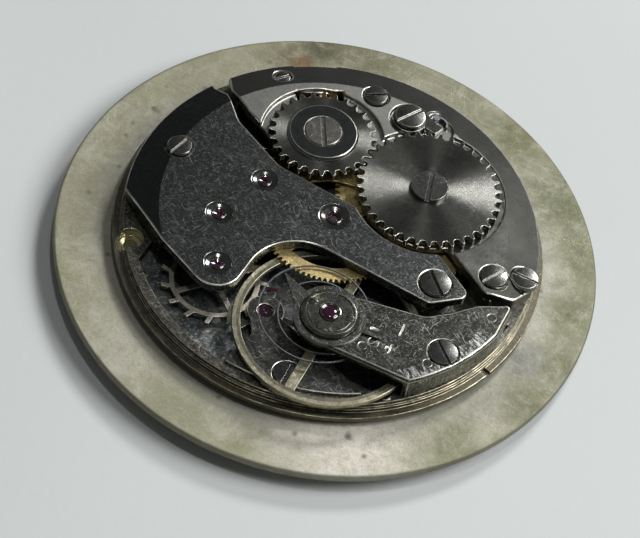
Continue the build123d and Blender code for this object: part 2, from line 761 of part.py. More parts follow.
def plate_holes():
    """Holes in the plate for screws, pins, bearings, dial feet and case screws."""
    cuts = []
    for share in (train_left_screw_share, train_right_screw_share, barrel_upper_screw_share,
                  barrel_lower_screw_share, cock_screw_share, case_screw_share,
                  pallet_screw_share):
        cuts.append(thread_cut(share, screw_end, bridge_top))
    cuts.append(disc(lever_shank + screw_hole_clearance, -cut_overrun, bridge_top, lever_pivot))
    hole = placed(empty_hole_share)
    cuts.append(disc(empty_hole_share[2] * bridge_radius, (flange_low + flange_high) / 2,
                     plate_thickness + cut_overrun, hole))
    cuts.append(disc(screw_shank_radius, -cut_overrun, plate_thickness, hole))
    for share in cock_pin_shares + bridge_pin_shares + (rim_pin_share,):
        cuts.append(disc(pin_radius, pin_low, cut_overrun, placed(share)))
    for bearing in dial_foot_bearings:
        cuts.append(disc(dial_foot_radius, -cut_overrun, dial_foot_height,
                         polar(centre, dial_foot_place, bearing)))
        cuts.append(radial_rod(foot_screw_radius, dial_foot_place, plate_radius, bearing))
    for at in (third, escape, pallet):
        cuts.append(disc(jewel_radius, -cut_overrun, plate_thickness, at))
    cuts.append(disc(jewel_radius, -cut_overrun, plate_thickness, fourth))
    cuts.append(disc(jewel_radius, -cut_overrun, plate_thickness, balance))
    cuts.append(disc(centre_jewel_radius, -cut_overrun, plate_thickness + cut_overrun, centre))
    cuts.append(disc(barrel_pivot_radius + running_clearance, -cut_overrun, plate_thickness, barrel))
    reach, bearing, length, width = rim_slot_share
    cuts.append(block(width * bridge_radius, length * bridge_radius, flange_high,
                      plate_thickness + cut_overrun,
                      polar(centre, reach * rim_radius - width * bridge_radius, bearing), bearing))
    return cuts


def radial_rod(radius, start, end, bearing):
    """Rod that lies along a bearing at the height of the dial foot screws."""
    rod = Cylinder(radius, end - start, align=upright)
    return Rot(0, 0, bearing) * Pos(start, 0, foot_screw_height) * Rot(0, 90, 0) * rod


def under_room(lobe_shares):
    """Room under a bridge inside its foot, with a standing lobe round each named screw."""
    room = disc(bridge_foot_inner, 0, bridge_low)
    lobes = [disc(screw_foot_radius, 0, bridge_low, placed(share)) for share in lobe_shares]
    return room - lobes


def make_barrel_bridge():
    face = shared_face(barrel_bridge_shares) + Pos(*barrel) * Circle(barrel_edge_radius)
    body = bevelled(face, bridge_radius, plate_thickness, bridge_top)
    body -= under_room((barrel_upper_screw_share, barrel_lower_screw_share, click_screw_share))
    body -= disc(barrel_pitch + 2 * free_gap, 0, bridge_low, barrel)
    high = bridge_top + cut_overrun
    click_at = placed(click_screw_share)
    slot_end = winding_start + winding_length + free_gap
    pinion_room = slot_end - winding_start + 2 * free_gap
    clutch_top = stem_height + clutch_radius + free_gap / 3
    clutch_low = clutch_start - clutch_travel - free_gap
    clutch_room = winding_start - clutch_low
    boss_room = bridge_radius - slot_end + cut_overrun
    lever_head = lever_screw_share[2] * bridge_radius + screw_hole_clearance
    cuts = [
        disc(crown_recess_radius, wheel_recess_floor, high, crown),
        disc(ratchet_recess_radius, wheel_recess_floor, high, barrel),
        disc(click_radius + free_gap, wheel_recess_floor, high, click_at),
        block(2 * (winding_tip_radius + free_gap), pinion_room, 0, high,
              (0, slot_end - pinion_room / 2)),
        block(2 * (clutch_radius + free_gap), clutch_room, 0, clutch_top,
              (0, clutch_low + clutch_room / 2)),
        block(2 * boss_half_width + free_gap, boss_room, 0, bridge_low,
              (0, slot_end + boss_room / 2 - touch_gap)),
        disc(barrel_top_pivot_radius + running_clearance, 0, high, barrel),
        disc(screw_shank_radius, 0, high, crown),
        disc(screw_shank_radius, bridge_low - screw_head_height, high, click_at),
        screw_cut(barrel_upper_screw_share, screw_head_low, 0),
        screw_cut(barrel_lower_screw_share, screw_head_low, 0),
        screw_cut(case_screw_share, case_head_low, 0),
        disc(lever_head, lever_head_low, high, lever_pivot),
        disc(lever_shank + screw_hole_clearance, 0, high, lever_pivot),
        disc(click_foot_radius, click_foot_low, high, click_foot),
        disc(click_pocket_radius, wheel_recess_floor, high, click_pocket),
        disc(click_foot_room, wheel_recess_floor, high, click_foot),
    ]
    cuts += [disc(pin_radius, 0, pin_top, placed(share)) for share in bridge_pin_shares]
    nodes["barrel_bridge"] = body - cuts


def make_train_bridge():
    face = shared_face(train_bridge_shares) - Pos(*barrel) * Circle(ratchet_recess_radius)
    body = bevelled(face, bridge_radius, plate_thickness, bridge_top)
    body -= under_room((train_left_screw_share, train_right_screw_share))
    cuts = [disc(centre_jewel_radius, 0, bridge_top, centre)]
    cuts.append(sink(centre, centre_sink_radius, centre_jewel_radius, bridge_top))
    for at in (third, fourth, escape):
        cuts.append(disc(jewel_radius, 0, bridge_top, at))
        cuts.append(sink(at, sink_radius, jewel_radius, bridge_top))
    cuts.append(screw_cut(train_left_screw_share, screw_head_low, 0))
    cuts.append(screw_cut(train_right_screw_share, screw_head_low, 0))
    cuts += [disc(pin_radius, 0, pin_top, placed(share)) for share in bridge_pin_shares]
    nodes["train_bridge"] = body - cuts


def cock_face():
    return shared_face(cock_shares) + Pos(*balance) * Circle(head_radius)


def stud_place():
    """Place where the outer end of the hairspring is held."""
    radius = spring_start_radius()
    shift = 0
    for half in range(spring_half_turns - 1):
        step = spring_narrow_step if half % 2 == 0 else spring_wide_step
        sign = -1 if half % 2 == 0 else 1
        radius += step
        shift += sign * step
    sign = 1 if spring_half_turns % 2 == 1 else -1
    return polar(balance, shift + sign * radius, spring_shift_bearing)


def spring_start_radius():
    return collet_radius + spring_strip / 2 + touch_gap


def spiral_face(start_radius, strip, half_turns, first_step, second_step):
    """Flat strip wound in half turns, each half struck from its own centre."""
    radius = start_radius
    middle = 0.0
    outer = []
    inner = []
    for half in range(half_turns):
        sign = -1 if half % 2 == 0 else 1
        for edges, reach in ((outer, radius + strip / 2), (inner, radius - strip / 2)):
            start = (middle + sign * reach, 0)
            crest = (middle, sign * reach)
            end = (middle - sign * reach, 0)
            edges.append(ThreePointArc(start, crest, end))
        step = first_step if half % 2 == 0 else second_step
        middle += sign * step
        radius += step
    caps = [Line(outer[0] @ 0, inner[0] @ 0), Line(outer[-1] @ 1, inner[-1] @ 1)]
    return make_face(Wire(outer + inner + caps))


def make_balance_cock():
    body = slab(cock_face(), plate_thickness, cock_top) & disc(cock_radius, 0, cock_top)
    body = chamfer(body.edges().group_by(Axis.Z)[-1], edge_bevel)
    body -= disc(balance_radius + 2 * free_gap, 0, cock_low, balance)
    high = cock_top + cut_overrun
    cuts = [disc(jewel_radius, 0, high, balance), disc(stud_radius, 0, high, stud_place())]
    cuts.append(screw_cut(cock_screw_share, cock_screw_low, 0))
    cuts.append(disc(stud_screw_shank, cock_low, high, placed(stud_screw_share)))
    cuts.append(disc(stud_screw_share[2] * bridge_radius + running_clearance, stud_screw_low, high,
                     placed(stud_screw_share)))
    cuts += [disc(pin_radius, 0, high, placed(share)) for share in cock_pin_shares]
    cuts += [block(share[2] * mark_length, mark_width, cock_top - mark_depth, high,
                   placed(share), share[3]) for share in mark_shares]
    nodes["balance_cock"] = body - cuts


def make_pallet_cock():
    face = shared_face(pallet_cock_shares) + Pos(*pallet) * Circle(pallet_head_radius)
    body = slab(face, pallet_cock_low, pallet_cock_top)
    body &= disc(well_rim_radius - touch_gap, 0, bridge_top)
    body -= disc(pallet_jewel_radius, 0, bridge_top, pallet)
    body -= screw_cut(pallet_screw_share, pallet_cock_low + mark_depth, 0)
    nodes["pallet_cock"] = body
    nodes["pallet_cock_screw"] = share_screw(pallet_screw_share, pallet_cock_low + mark_depth,
                                             balance_arm_low - mark_depth, screw_end)
    nodes["pallet_cock_jewel"] = jewel(pallet, pallet_jewel_radius, pallet_cock_low,
                                       pallet_cock_top - mark_depth, pivot_hole)


def make_screws():
    heads = [share_screw(share, screw_head_low, screw_head_top, screw_end)
             for share in (train_left_screw_share, train_right_screw_share,
                           barrel_upper_screw_share, barrel_lower_screw_share)]
    heads.append(share_screw(cock_screw_share, cock_screw_low, cock_screw_top, screw_end))
    nodes["bridge_screws"] = Compound(children=heads)
    nodes["case_screw"] = share_screw(case_screw_share, case_head_low, case_head_top, screw_end)
    at = placed(lever_screw_share)
    nodes["setting_lever_screw"] = screw(at, lever_screw_share[2] * bridge_radius, lever_head_low,
                                         lever_head_top, lever_low, lever_screw_share[3],
                                         lever_shank)
    nodes["stud_screw"] = screw(placed(stud_screw_share), stud_screw_share[2] * bridge_radius,
                                stud_screw_low, cock_top - touch_gap, cock_low,
                                stud_screw_share[3], stud_screw_shank)
    pins = [disc(pin_radius, pin_low, cock_top, placed(share)) for share in cock_pin_shares]
    pins += [disc(pin_radius, pin_low, pin_top, placed(share)) for share in bridge_pin_shares]
    pins.append(disc(pin_radius, pin_low, plate_thickness + mark_depth, placed(rim_pin_share)))
    nodes["steady_pins"] = Compound(children=pins)
    tip = dial_foot_place + dial_foot_radius
    rods = [radial_rod(foot_screw_radius, tip, disc_radius, bearing)
            for bearing in dial_foot_bearings]
    nodes["dial_foot_screws"] = Compound(children=rods)


def make_jewels():
    stones = [jewel(at, jewel_radius, jewel_low, bridge_top - sink_depth, pivot_hole)
              for at in (third, fourth, escape)]
    centre_hole = centre_top_pivot + running_clearance
    stones.append(jewel(centre, centre_jewel_radius, jewel_low, bridge_top - sink_depth,
                        centre_hole))
    nodes["train_bridge_jewels"] = Compound(children=stones)
    low = plate_jewel_low
    high = floor_height
    lower = [jewel(at, jewel_radius, low, high, pivot_hole) for at in (third, escape, pallet)]
    lower.append(jewel(fourth, jewel_radius, low, high, seconds_pivot_radius + running_clearance))
    lower.append(jewel(balance, jewel_radius, low, high, pivot_hole))
    lower.append(jewel(centre, centre_jewel_radius, low, plate_thickness,
                       centre_arbor_radius + running_clearance))
    nodes["plate_jewels"] = Compound(children=lower)
    nodes["cock_hole_jewel"] = jewel(balance, jewel_radius, cock_low, cap_low, pivot_hole)


def make_cock_head():
    low = cock_top
    high = low + cap_setting_height
    setting_body = disc(cap_setting_radius, low, high, balance)
    setting_body = chamfer(setting_body.edges().group_by(Axis.Z)[-1], edge_bevel)
    setting_body -= disc(cap_radius, low - cut_overrun, high + cut_overrun, balance)
    groove = ring(cap_ring_radius, cap_ring_radius - mark_width, high - mark_depth,
                  high + cut_overrun, balance)
    setting_body -= groove
    screws = []
    place = (cap_radius + cap_setting_radius) / 2
    for bearing in cap_screw_bearings:
        at = polar(balance, place, bearing)
        setting_body -= disc(cap_screw_radius, high - mark_depth * 2, high + cut_overrun, at)
        setting_body -= disc(cap_screw_radius / 2, low - cut_overrun, high, at)
        screws.append(screw(at, cap_screw_radius, high - mark_depth * 2, high + mark_depth, low,
                            bearing, cap_screw_radius / 2))
    nodes["cap_setting"] = setting_body
    nodes["cap_screws"] = Compound(children=screws)
    stone = disc(cap_radius, low, high, balance)
    nodes["cock_cap_jewel"] = chamfer(stone.edges().group_by(Axis.Z)[-1], edge_bevel)
    make_regulator(low)


def make_regulator(low):
    """Ring round the cap setting with a pointer and a tail that carries two curb pins."""
    high = low + regulator_thickness
    inner = cap_setting_radius + running_clearance
    body = ring(head_radius + running_clearance, inner, low, high, balance)
    pointer_middle = (inner + regulator_pointer_reach) / 2 + mark_width
    body += block(regulator_pointer_reach - inner, regulator_width, low, high,
                  polar(balance, pointer_middle, regulator_pointer_bearing),
                  regulator_pointer_bearing)
    tail_middle = (inner + regulator_reach + stud_radius) / 2 + mark_width
    body += block(regulator_reach + stud_radius - inner, regulator_width * 2, low, high,
                  polar(balance, tail_middle, spring_shift_bearing), spring_shift_bearing)
    for sign in (-1, 1):
        reach = curb_place() + sign * (spring_strip / 2 + curb_pin_radius + running_clearance)
        body += disc(curb_pin_radius, spring_low, low,
                     polar(balance, reach, spring_shift_bearing))
    body -= disc(inner, 0, high + cut_overrun, balance)
    nodes["regulator"] = body


def curb_place():
    """Distance from the balance centre of the spring's turn between the curb pins."""
    radius = spring_start_radius()
    shift = 0
    best = 0
    for half in range(spring_half_turns):
        if half % 2 == 0:
            crossing = shift + radius
            if crossing <= regulator_reach + stud_radius:
                best = max(best, crossing)
        step = spring_narrow_step if half % 2 == 0 else spring_wide_step
        sign = -1 if half % 2 == 0 else 1
        shift += sign * step
        radius += step
    return best


def make_hairspring():
    face = spiral_face(spring_start_radius(), spring_strip, spring_half_turns,
                       spring_narrow_step, spring_wide_step)
    strip = slab(face, spring_low, spring_low + spring_height)
    nodes["hairspring"] = Pos(*balance) * Rot(0, 0, spring_shift_bearing) * strip
    at = stud_place()
    slot = block(4 * stud_radius, spring_strip, spring_low - cut_overrun,
                 spring_low + spring_height, at, spring_shift_bearing + 90)
    nodes["hairspring_stud"] = disc(stud_radius, spring_low - mark_depth, cock_top, at) - slot
    print("hairspring gap to itself", round(spring_gap(), 3))


def spring_gap():
    """Least gap between neighbouring turns, measured on points along the strip."""
    points = []
    radius = spring_start_radius()
    middle = 0.0
    for half in range(spring_half_turns):
        sign = -1 if half % 2 == 0 else 1
        for sample in range(spring_samples):
            angle = math.pi * (sample / spring_samples + 1 - half % 2)
            points.append((middle + radius * math.cos(angle), radius * math.sin(angle)))
        step = spring_narrow_step if half % 2 == 0 else spring_wide_step
        middle += sign * step
        radius += step
    least = balance_radius
    for index, point in enumerate(points):
        for other in points[index + spring_samples + 1:]:
            least = min(least, math.dist(point, other))
    return least - spring_strip


def crossed(wheel, rim_inner, hub, arm_width, arms, low, high, at, first=0.0):
    """Wheel with its disc opened between the rim, the hub and its arms."""
    room = ring(rim_inner, hub, low - cut_overrun, high + cut_overrun, at)
    bars = [block(rim_inner, arm_width, low - 2 * cut_overrun, high + 2 * cut_overrun,
                  polar(at, rim_inner / 2, first + index * 360 / arms), first + index * 360 / arms)
            for index in range(arms)]
    return wheel - (room - bars)


def arbor(at, levels):
    """Turned arbor from steps of radius, low and high."""
    return union([disc(radius, low, high, at) for radius, low, high in levels])


def train_wheel(name, count, pitch, first, low, at, bore, arms):
    """Thin crossed-out wheel of the going train."""
    high = low + train_wheel_thickness
    wheel = gear(count, pitch, first, low, high, at)
    wheel = crossed(wheel, pitch - wheel_rim_width, wheel_hub_radius, wheel_arm_width, arms,
                    low, high, at, first)
    nodes[name] = wheel - disc(bore, low - cut_overrun, high + cut_overrun, at)


def make_train():
    top = jewel_low - mark_depth / 2
    pivot_top = bridge_top - sink_depth - mark_depth
    low = floor_height + touch_gap
    pivot_low = plate_jewel_low + touch_gap
    third_first = fourth_bearing
    train_wheel("third_wheel", third_wheel_teeth, third_wheel_pitch, third_first,
                third_wheel_low, third, arbor_radius, train_arms)
    first = meshed(0, centre_wheel_teeth, third_bearing, third_pinion_teeth)
    body = gear(third_pinion_teeth, third_pinion_pitch, first, centre_wheel_low - mark_depth,
                centre_wheel_low + centre_wheel_thickness + touch_gap, third)
    levels = ((arbor_radius, low, top), (pivot_radius, pivot_low, low),
              (pivot_radius, top, pivot_top))
    nodes["third_pinion"] = body + arbor(third, levels)

    train_wheel("fourth_wheel", fourth_wheel_teeth, fourth_wheel_pitch, escape_bearing,
                fourth_wheel_low, fourth, arbor_radius, train_arms)
    first = meshed(third_first, third_wheel_teeth, fourth_bearing, fourth_pinion_teeth)
    body = gear(fourth_pinion_teeth, fourth_pinion_pitch, first, third_wheel_low - mark_depth,
                fourth_wheel_low, fourth)
    levels = ((arbor_radius, low, top), (seconds_pivot_radius, -hand_seat_start, low),
              (seconds_seat_radius, -seconds_pivot_reach, -hand_seat_start),
              (pivot_radius, top, pivot_top))
    nodes["fourth_pinion"] = body + arbor(fourth, levels)

    first = meshed(escape_bearing, fourth_wheel_teeth, escape_bearing, escape_pinion_teeth)
    body = gear(escape_pinion_teeth, escape_pinion_pitch, first, fourth_wheel_low - mark_depth,
                fourth_wheel_low + train_wheel_thickness + mark_depth, escape)
    levels = ((arbor_radius, low, top), (pivot_radius, pivot_low, low),
              (pivot_radius, top, pivot_top))
    nodes["escape_pinion"] = body + arbor(escape, levels)
    nodes["escape_wheel"] = escape_wheel()
    make_centre(pivot_top)


def escape_wheel():
    """Club-toothed wheel whose teeth lean back from the rim."""
    low = escape_wheel_low
    high = low + train_wheel_thickness
    points = []
    pitch_angle = 360 / escape_teeth
    for tooth in range(escape_teeth):
        middle = tooth * pitch_angle
        for share, reach in zip(escape_tooth_angle_shares, escape_tooth_reach_shares):
            radius = escape_rim_radius + reach * (escape_tip_radius - escape_rim_radius)
            points.append(polar((0, 0), radius, middle + share * pitch_angle))
    wheel = slab(make_face(Polyline(*points, close=True)), low, high)
    wheel = Pos(escape[0], escape[1], 0) * wheel
    wheel = crossed(wheel, escape_rim_radius - escape_rim_width, wheel_hub_radius,
                    wheel_arm_width, train_arms, low, high, escape, escape_arm_bearing)
    return wheel - disc(arbor_radius, low - cut_overrun, high + cut_overrun, escape)


def make_centre(pivot_top):
    low = centre_wheel_low
    high = low + centre_wheel_thickness
    wheel = gear(centre_wheel_teeth, centre_wheel_pitch, 0, low, high)
    wheel = crossed(wheel, centre_wheel_pitch - centre_rim_width, centre_hub_radius,
                    centre_arm_width, train_arms, low, high, centre, centre_arm_bearing)
    nodes["centre_wheel"] = wheel - disc(centre_arbor_radius, 0, bridge_top)
    first = meshed(barrel_bearing + 180, barrel_teeth, barrel_bearing + 180, centre_pinion_teeth)
    body = gear(centre_pinion_teeth, centre_pinion_pitch, first, barrel_teeth_low - mark_depth,
                centre_wheel_low)
    seat = barrel_teeth_low - mark_depth
    levels = ((centre_seat_radius, plate_thickness + touch_gap, seat),
              (centre_arbor_radius, -seconds_pivot_reach, bridge_low - touch_gap),
              (centre_top_pivot, bridge_low - touch_gap, pivot_top))
    nodes["centre_pinion"] = body + arbor(centre, levels)


def make_barrel():
    first = barrel_bearing + 180
    floor_top = barrel_low + drum_wall
    inner = drum_radius - drum_wall
    floor = ring(drum_radius, barrel_pivot_radius + running_clearance, barrel_low, floor_top, barrel)
    wall = ring(drum_radius, inner, floor_top, barrel_teeth_low, barrel)
    teeth = gear(barrel_teeth, barrel_pitch, first, barrel_teeth_low, barrel_teeth_high, barrel)
    teeth -= disc(inner, 0, bridge_top, barrel)
    nodes["barrel_drum"] = floor + wall + teeth
    nodes["barrel_cover"] = ring(inner, barrel_top_pivot_radius + running_clearance,
                                 cover_top - cover_thickness, cover_top, barrel)
    core_low = floor_top + running_clearance
    core_high = cover_top - cover_thickness - running_clearance
    levels = ((barrel_pivot_radius, running_clearance, core_low),
              (barrel_core_radius, core_low, core_high),
              (barrel_top_pivot_radius, core_high, winding_wheel_low))
    body = arbor(barrel, levels)
    body += block(arbor_square, arbor_square, winding_wheel_low, winding_wheel_top - mark_depth,
                  barrel)
    body -= disc(screw_shank_radius, bridge_low, winding_wheel_top + cut_overrun, barrel)
    nodes["barrel_arbor"] = body
    start = barrel_core_radius + mainspring_strip / 2 + mark_depth
    face = spiral_face(start, mainspring_strip, mainspring_half_turns, mainspring_step,
                       mainspring_step)
    strip = slab(face, core_low + mark_depth, core_high - mark_depth)
    nodes["mainspring"] = Pos(*barrel) * strip


def make_winding():
    low = winding_wheel_low
    high = winding_wheel_top
    wheel = round_toothed(ratchet_teeth, ratchet_pitch, ratchet_first, low, high, barrel)
    nodes["ratchet_wheel"] = wheel - block(arbor_square, arbor_square, 0, high + cut_overrun, barrel)
    nodes["ratchet_screw"] = screw(barrel, ratchet_screw_radius, high,
                                   high + ratchet_screw_height, bridge_low, ratchet_slot_bearing)
    wheel = round_toothed(crown_teeth, crown_pitch, crown_first, low, high, crown)
    bore = crown_hub_radius + running_clearance
    nodes["crown_wheel"] = wheel - disc(bore, 0, high + cut_overrun, crown)
    flange_low_level = high + touch_gap
    body = disc(crown_hub_radius, wheel_recess_floor, flange_low_level, crown)
    body += disc(crown_core_radius, flange_low_level, crown_core_top, crown)
    body = chamfer(body.edges().group_by(Axis.Z)[-1], edge_bevel)
    head_low = crown_core_top - ratchet_screw_height
    body -= disc(crown_screw_radius + running_clearance, head_low, crown_core_top + cut_overrun,
                 crown)
    body -= disc(screw_shank_radius, 0, crown_core_top, crown)
    nodes["crown_core"] = body
    nodes["crown_screw"] = screw(crown, crown_screw_radius, head_low,
                                 crown_core_top + mark_depth, bridge_low + touch_gap,
                                 crown_slot_bearing)
    make_click()
    make_clutch()


def click_bearing():
    """Bearing from the ratchet wheel of the tooth gap nearest the click's nose."""
    pitch_angle = 360 / ratchet_teeth
    gap = ratchet_first + pitch_angle / 2
    return gap + round((click_nose_bearing - gap) / pitch_angle) * pitch_angle


def make_click():
    at = placed(click_screw_share)
    high = click_low + click_thickness
    tip = ratchet_pitch + 2 * ratchet_pitch * addendum_share / ratchet_teeth + click_nose_gap
    bearing = click_bearing()
    points = [polar(barrel, tip + reach * click_radius, bearing + turn)
              for reach, turn in click_nose_shares]
    points.append(at)
    nose = slab(make_face(Polyline(*points, close=True)), click_low, high)
    body = disc(click_radius, click_low, high, at) + nose
    body -= disc(screw_shank_radius + running_clearance, 0, high + cut_overrun, at)
    nodes["click"] = body
    nodes["click_screw"] = screw(at, click_screw_radius, high + touch_gap,
                                 high + screw_head_height - mark_depth,
                                 bridge_low - screw_head_height, click_screw_share[3])
    nodes["click_spring"] = strip_between((click_foot, placed(click_spring_middle_share),
                                           placed(click_spring_end_share)), click_spring_strip,
                                          click_low, click_low + click_thickness / 2)
    nodes["click_spring"] += disc(click_foot_radius, click_foot_low,
                                  click_low + click_thickness / 2, click_foot)


def strip_between(points, width, low, high):
    """Thin bent strip along an arc through three points."""
    line = ThreePointArc(*points)
    normal = [line.tangent_at(place).rotate(Axis.Z, 90) * (width / 2) for place in (0, 0.5, 1)]
    ends = [line @ place for place in (0, 0.5, 1)]
    left = [end + side for end, side in zip(ends, normal)]
    right = [end - side for end, side in zip(ends, normal)]
    edges = [ThreePointArc(*left), Line(left[2], right[2]), ThreePointArc(*right),
             Line(right[0], left[0])]
    return slab(make_face(Wire(edges)), low, high)


def make_clutch():
    lie = Pos(0, winding_start, stem_height) * Rot(-90, 0, 0)
    pitch = crown_pitch * winding_teeth / crown_teeth
    module = 2 * pitch / winding_teeth
    face = gear_face(winding_teeth, pitch, -90, (winding_tip_radius - pitch) / module)
    bore = stem_radius + running_clearance
    body = slab(face, 0, winding_length) - disc(bore, -cut_overrun, winding_length + cut_overrun)
    nodes["winding_pinion"] = lie * body
    body = disc(clutch_radius, 0, clutch_length)
    square = 2 * stem_radius * stem_square_share
    groove = groove_middle - clutch_start
    cuts = [ring(2 * clutch_radius, groove_radius, groove - groove_width / 2,
                 groove + groove_width / 2) & disc(2 * clutch_radius, groove - groove_width / 2,
                                                   groove + groove_width / 2),
            block(square, square, -cut_overrun, clutch_length + cut_overrun)]
    tooth_place = (groove_radius + 2 * clutch_radius) / 2
    for tooth in range(clutch_teeth):
        bearing = tooth * 360 / clutch_teeth
        cuts.append(block(2 * clutch_radius - groove_radius, groove_width, -cut_overrun,
                          groove_width / 2, polar((0, 0), tooth_place, bearing), bearing))
    lie = Pos(0, clutch_start, stem_height) * Rot(-90, 0, 0)
    nodes["sliding_clutch"] = lie * (body - cuts)


def make_keyless():
    high = lever_low + lever_thickness
    start = math.degrees(math.asin(clutch_travel / 2 / clutch_lever_reach))
    finger_x = clutch_lever_reach * math.cos(math.radians(start))
    post = clutch_lever_post
    tip = (post[0] + finger_x, groove_middle)
    arm = block(clutch_lever_reach - groove_radius, fork_width, lever_low, high,
                polar(post, (clutch_lever_reach - groove_radius) / 2, start), start)
    head = disc(post_radius + 2 * finger_width, lever_low, high, post)
    reach = groove_radius + finger_width
    finger = block(reach, finger_width, lever_low, lever_finger_top,
                   (tip[0] - reach / 2 + finger_width, tip[1]), 0)
    body = arm + head + finger
    body -= disc(post_radius + running_clearance, -cut_overrun, high + cut_overrun, post)
    nodes["clutch_lever"] = body
    points = [placed(share) for share in lever_spring_shares]
    nodes["clutch_lever_spring"] = strip_between(points, lever_spring_strip, lever_low, dial_recess)
    body = slab(shared_face(setting_lever_shares), lever_low, high)
    body += disc(lever_stud_radius, lever_low, lever_stud_top, (0, lever_stud_place))
    body -= disc(lever_shank + running_clearance, -cut_overrun, high + cut_overrun, lever_pivot)
    nodes["setting_lever"] = body


def make_motion_work():
    low = minute_wheel_low
    high = low + motion_wheel_thickness
    first = 0
    minute_first = meshed(first, cannon_teeth, minute_bearing, minute_teeth)
    body = gear(cannon_teeth, cannon_pitch, first, low, high)
    body += disc(cannon_radius, -cannon_seat_start, low)
    body += disc(cannon_seat_radius, -cannon_reach, -cannon_seat_start)
    bore = centre_arbor_radius + running_clearance
    nodes["cannon_pinion"] = body - disc(bore, -2 * cannon_reach, bridge_top)
    minute_wheel = gear(minute_teeth, minute_radius, minute_first, low, high, minute)
    pinion_first = minute_bearing + 180
    minute_wheel += gear(minute_pinion_teeth, minute_pinion_radius, pinion_first,
                         hour_wheel_low, low, minute)
    bore = post_radius + running_clearance
    nodes["minute_wheel"] = minute_wheel - disc(bore, -cut_overrun, cut_overrun, minute)
    hour_first = meshed(pinion_first, minute_pinion_teeth, pinion_first, hour_teeth)
    hour_high = hour_wheel_low + motion_wheel_thickness
    body = gear(hour_teeth, hour_radius, hour_first, hour_wheel_low, hour_high)
    body += disc(hour_pipe_radius, -hand_seat_start, hour_high)
    body += disc(hour_seat_radius, -hour_pipe_reach, -hand_seat_start)
    nodes["hour_wheel"] = body - disc(cannon_radius + running_clearance, -cannon_reach, bridge_top)
    setting_first = meshed(minute_first, minute_teeth, setting_bearing, setting_teeth)
    body = gear(setting_teeth, setting_radius, setting_first, low, high, setting)
    nodes["setting_wheel"] = body - disc(bore, -cut_overrun, cut_overrun, setting)


def make_balance():
    inner = balance_radius - balance_rim_width
    rim = ring(balance_radius, inner, balance_rim_low, balance_rim_high, balance)
    length = 2 * balance_radius - balance_rim_width
    arms = block(length, balance_arm_width, balance_arm_low, balance_arm_high, balance,
                 balance_arm_bearing)
    hub = disc(balance_hub_radius, balance_arm_low, balance_rim_high, balance)
    body = rim + arms + hub
    nodes["balance_wheel"] = body - disc(staff_radius, 0, bridge_top, balance)
    low = floor_height + free_gap
    high = cock_low - mark_depth
    levels = ((staff_radius, low, high), (pivot_radius, plate_jewel_low + touch_gap, low),
              (pivot_radius, high, cap_low - touch_gap))
    nodes["balance_staff"] = arbor(balance, levels)
    roller_high = roller_low + roller_thickness
    nodes["roller"] = ring(roller_radius, staff_radius, roller_low, roller_high, balance)
    pin_at = polar(balance, impulse_pin_place, balance_bearing + 180)
    nodes["impulse_pin"] = disc(impulse_pin_radius, escape_wheel_low - touch_gap, roller_low, pin_at)
    nodes["hairspring_collet"] = ring(collet_radius, staff_radius, spring_low - mark_depth,
                                      high - touch_gap, balance)


def make_pallets():
    low = escape_wheel_low
    high = low + train_wheel_thickness
    stones = []
    arms = []
    for side in (-1, 1):
        bearing = pallet_bearing + side * 360 / escape_teeth * pallet_span_share
        reach = escape_tip_radius - stone_bite + stone_length / 2
        stones.append(block(stone_length, stone_width, low, high,
                            polar(escape, reach, bearing), bearing))
        end = polar(escape, escape_tip_radius + stone_length / 2, bearing)
        span = math.dist(pallet, end)
        turn = math.degrees(math.atan2(end[1] - pallet[1], end[0] - pallet[0]))
        arms.append(block(span, fork_width, low, high, polar(pallet, span / 2, turn), turn))
    pin_reach = balance_distance - impulse_pin_place
    slot = impulse_pin_radius + fork_slot_clearance
    length = pin_reach + impulse_pin_radius
    lever = block(length, fork_width, low, high, polar(pallet, length / 2, balance_bearing),
                  balance_bearing)
    head = block(3 * slot, 4 * slot, low, high,
                 polar(pallet, length - 3 * slot / 2, balance_bearing), balance_bearing)
    body = union(arms + [lever, head, disc(fork_width, low, high, pallet)])
    mouth = block(3 * slot, 2 * slot, 0, bridge_top,
                  polar(pallet, pin_reach + slot / 2, balance_bearing), balance_bearing)
    shank = disc(arbor_radius, 0, bridge_top, pallet)
    nodes["pallet_fork"] = body - [mouth, shank] - stones
    nodes["pallet_stones"] = Compound(children=stones)
    levels = ((arbor_radius, floor_height + touch_gap, pallet_cock_low - running_clearance),
              (pivot_radius, plate_jewel_low + touch_gap, floor_height + touch_gap),
              (pivot_radius, pallet_cock_low - running_clearance, pallet_cock_top - 2 * mark_depth))
    nodes["pallet_arbor"] = arbor(pallet, levels)


for maker in (make_dial, make_main_plate, make_barrel_bridge, make_train_bridge,
              make_balance_cock, make_pallet_cock, make_screws, make_jewels, make_cock_head,
              make_hairspring, make_train, make_barrel, make_winding, make_keyless,
              make_motion_work, make_balance, make_pallets):
    maker()
for name, shape in nodes.items():
    export_step(shape, f"parts/{name}.step")
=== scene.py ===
"""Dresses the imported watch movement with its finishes, softened edges and small details."""
import logging
import math
from dataclasses import dataclass
from enum import Enum
from typing import ClassVar, Iterable, Optional, Protocol, Sequence, Union

import bmesh
import bpy
from mathutils import Matrix, Vector

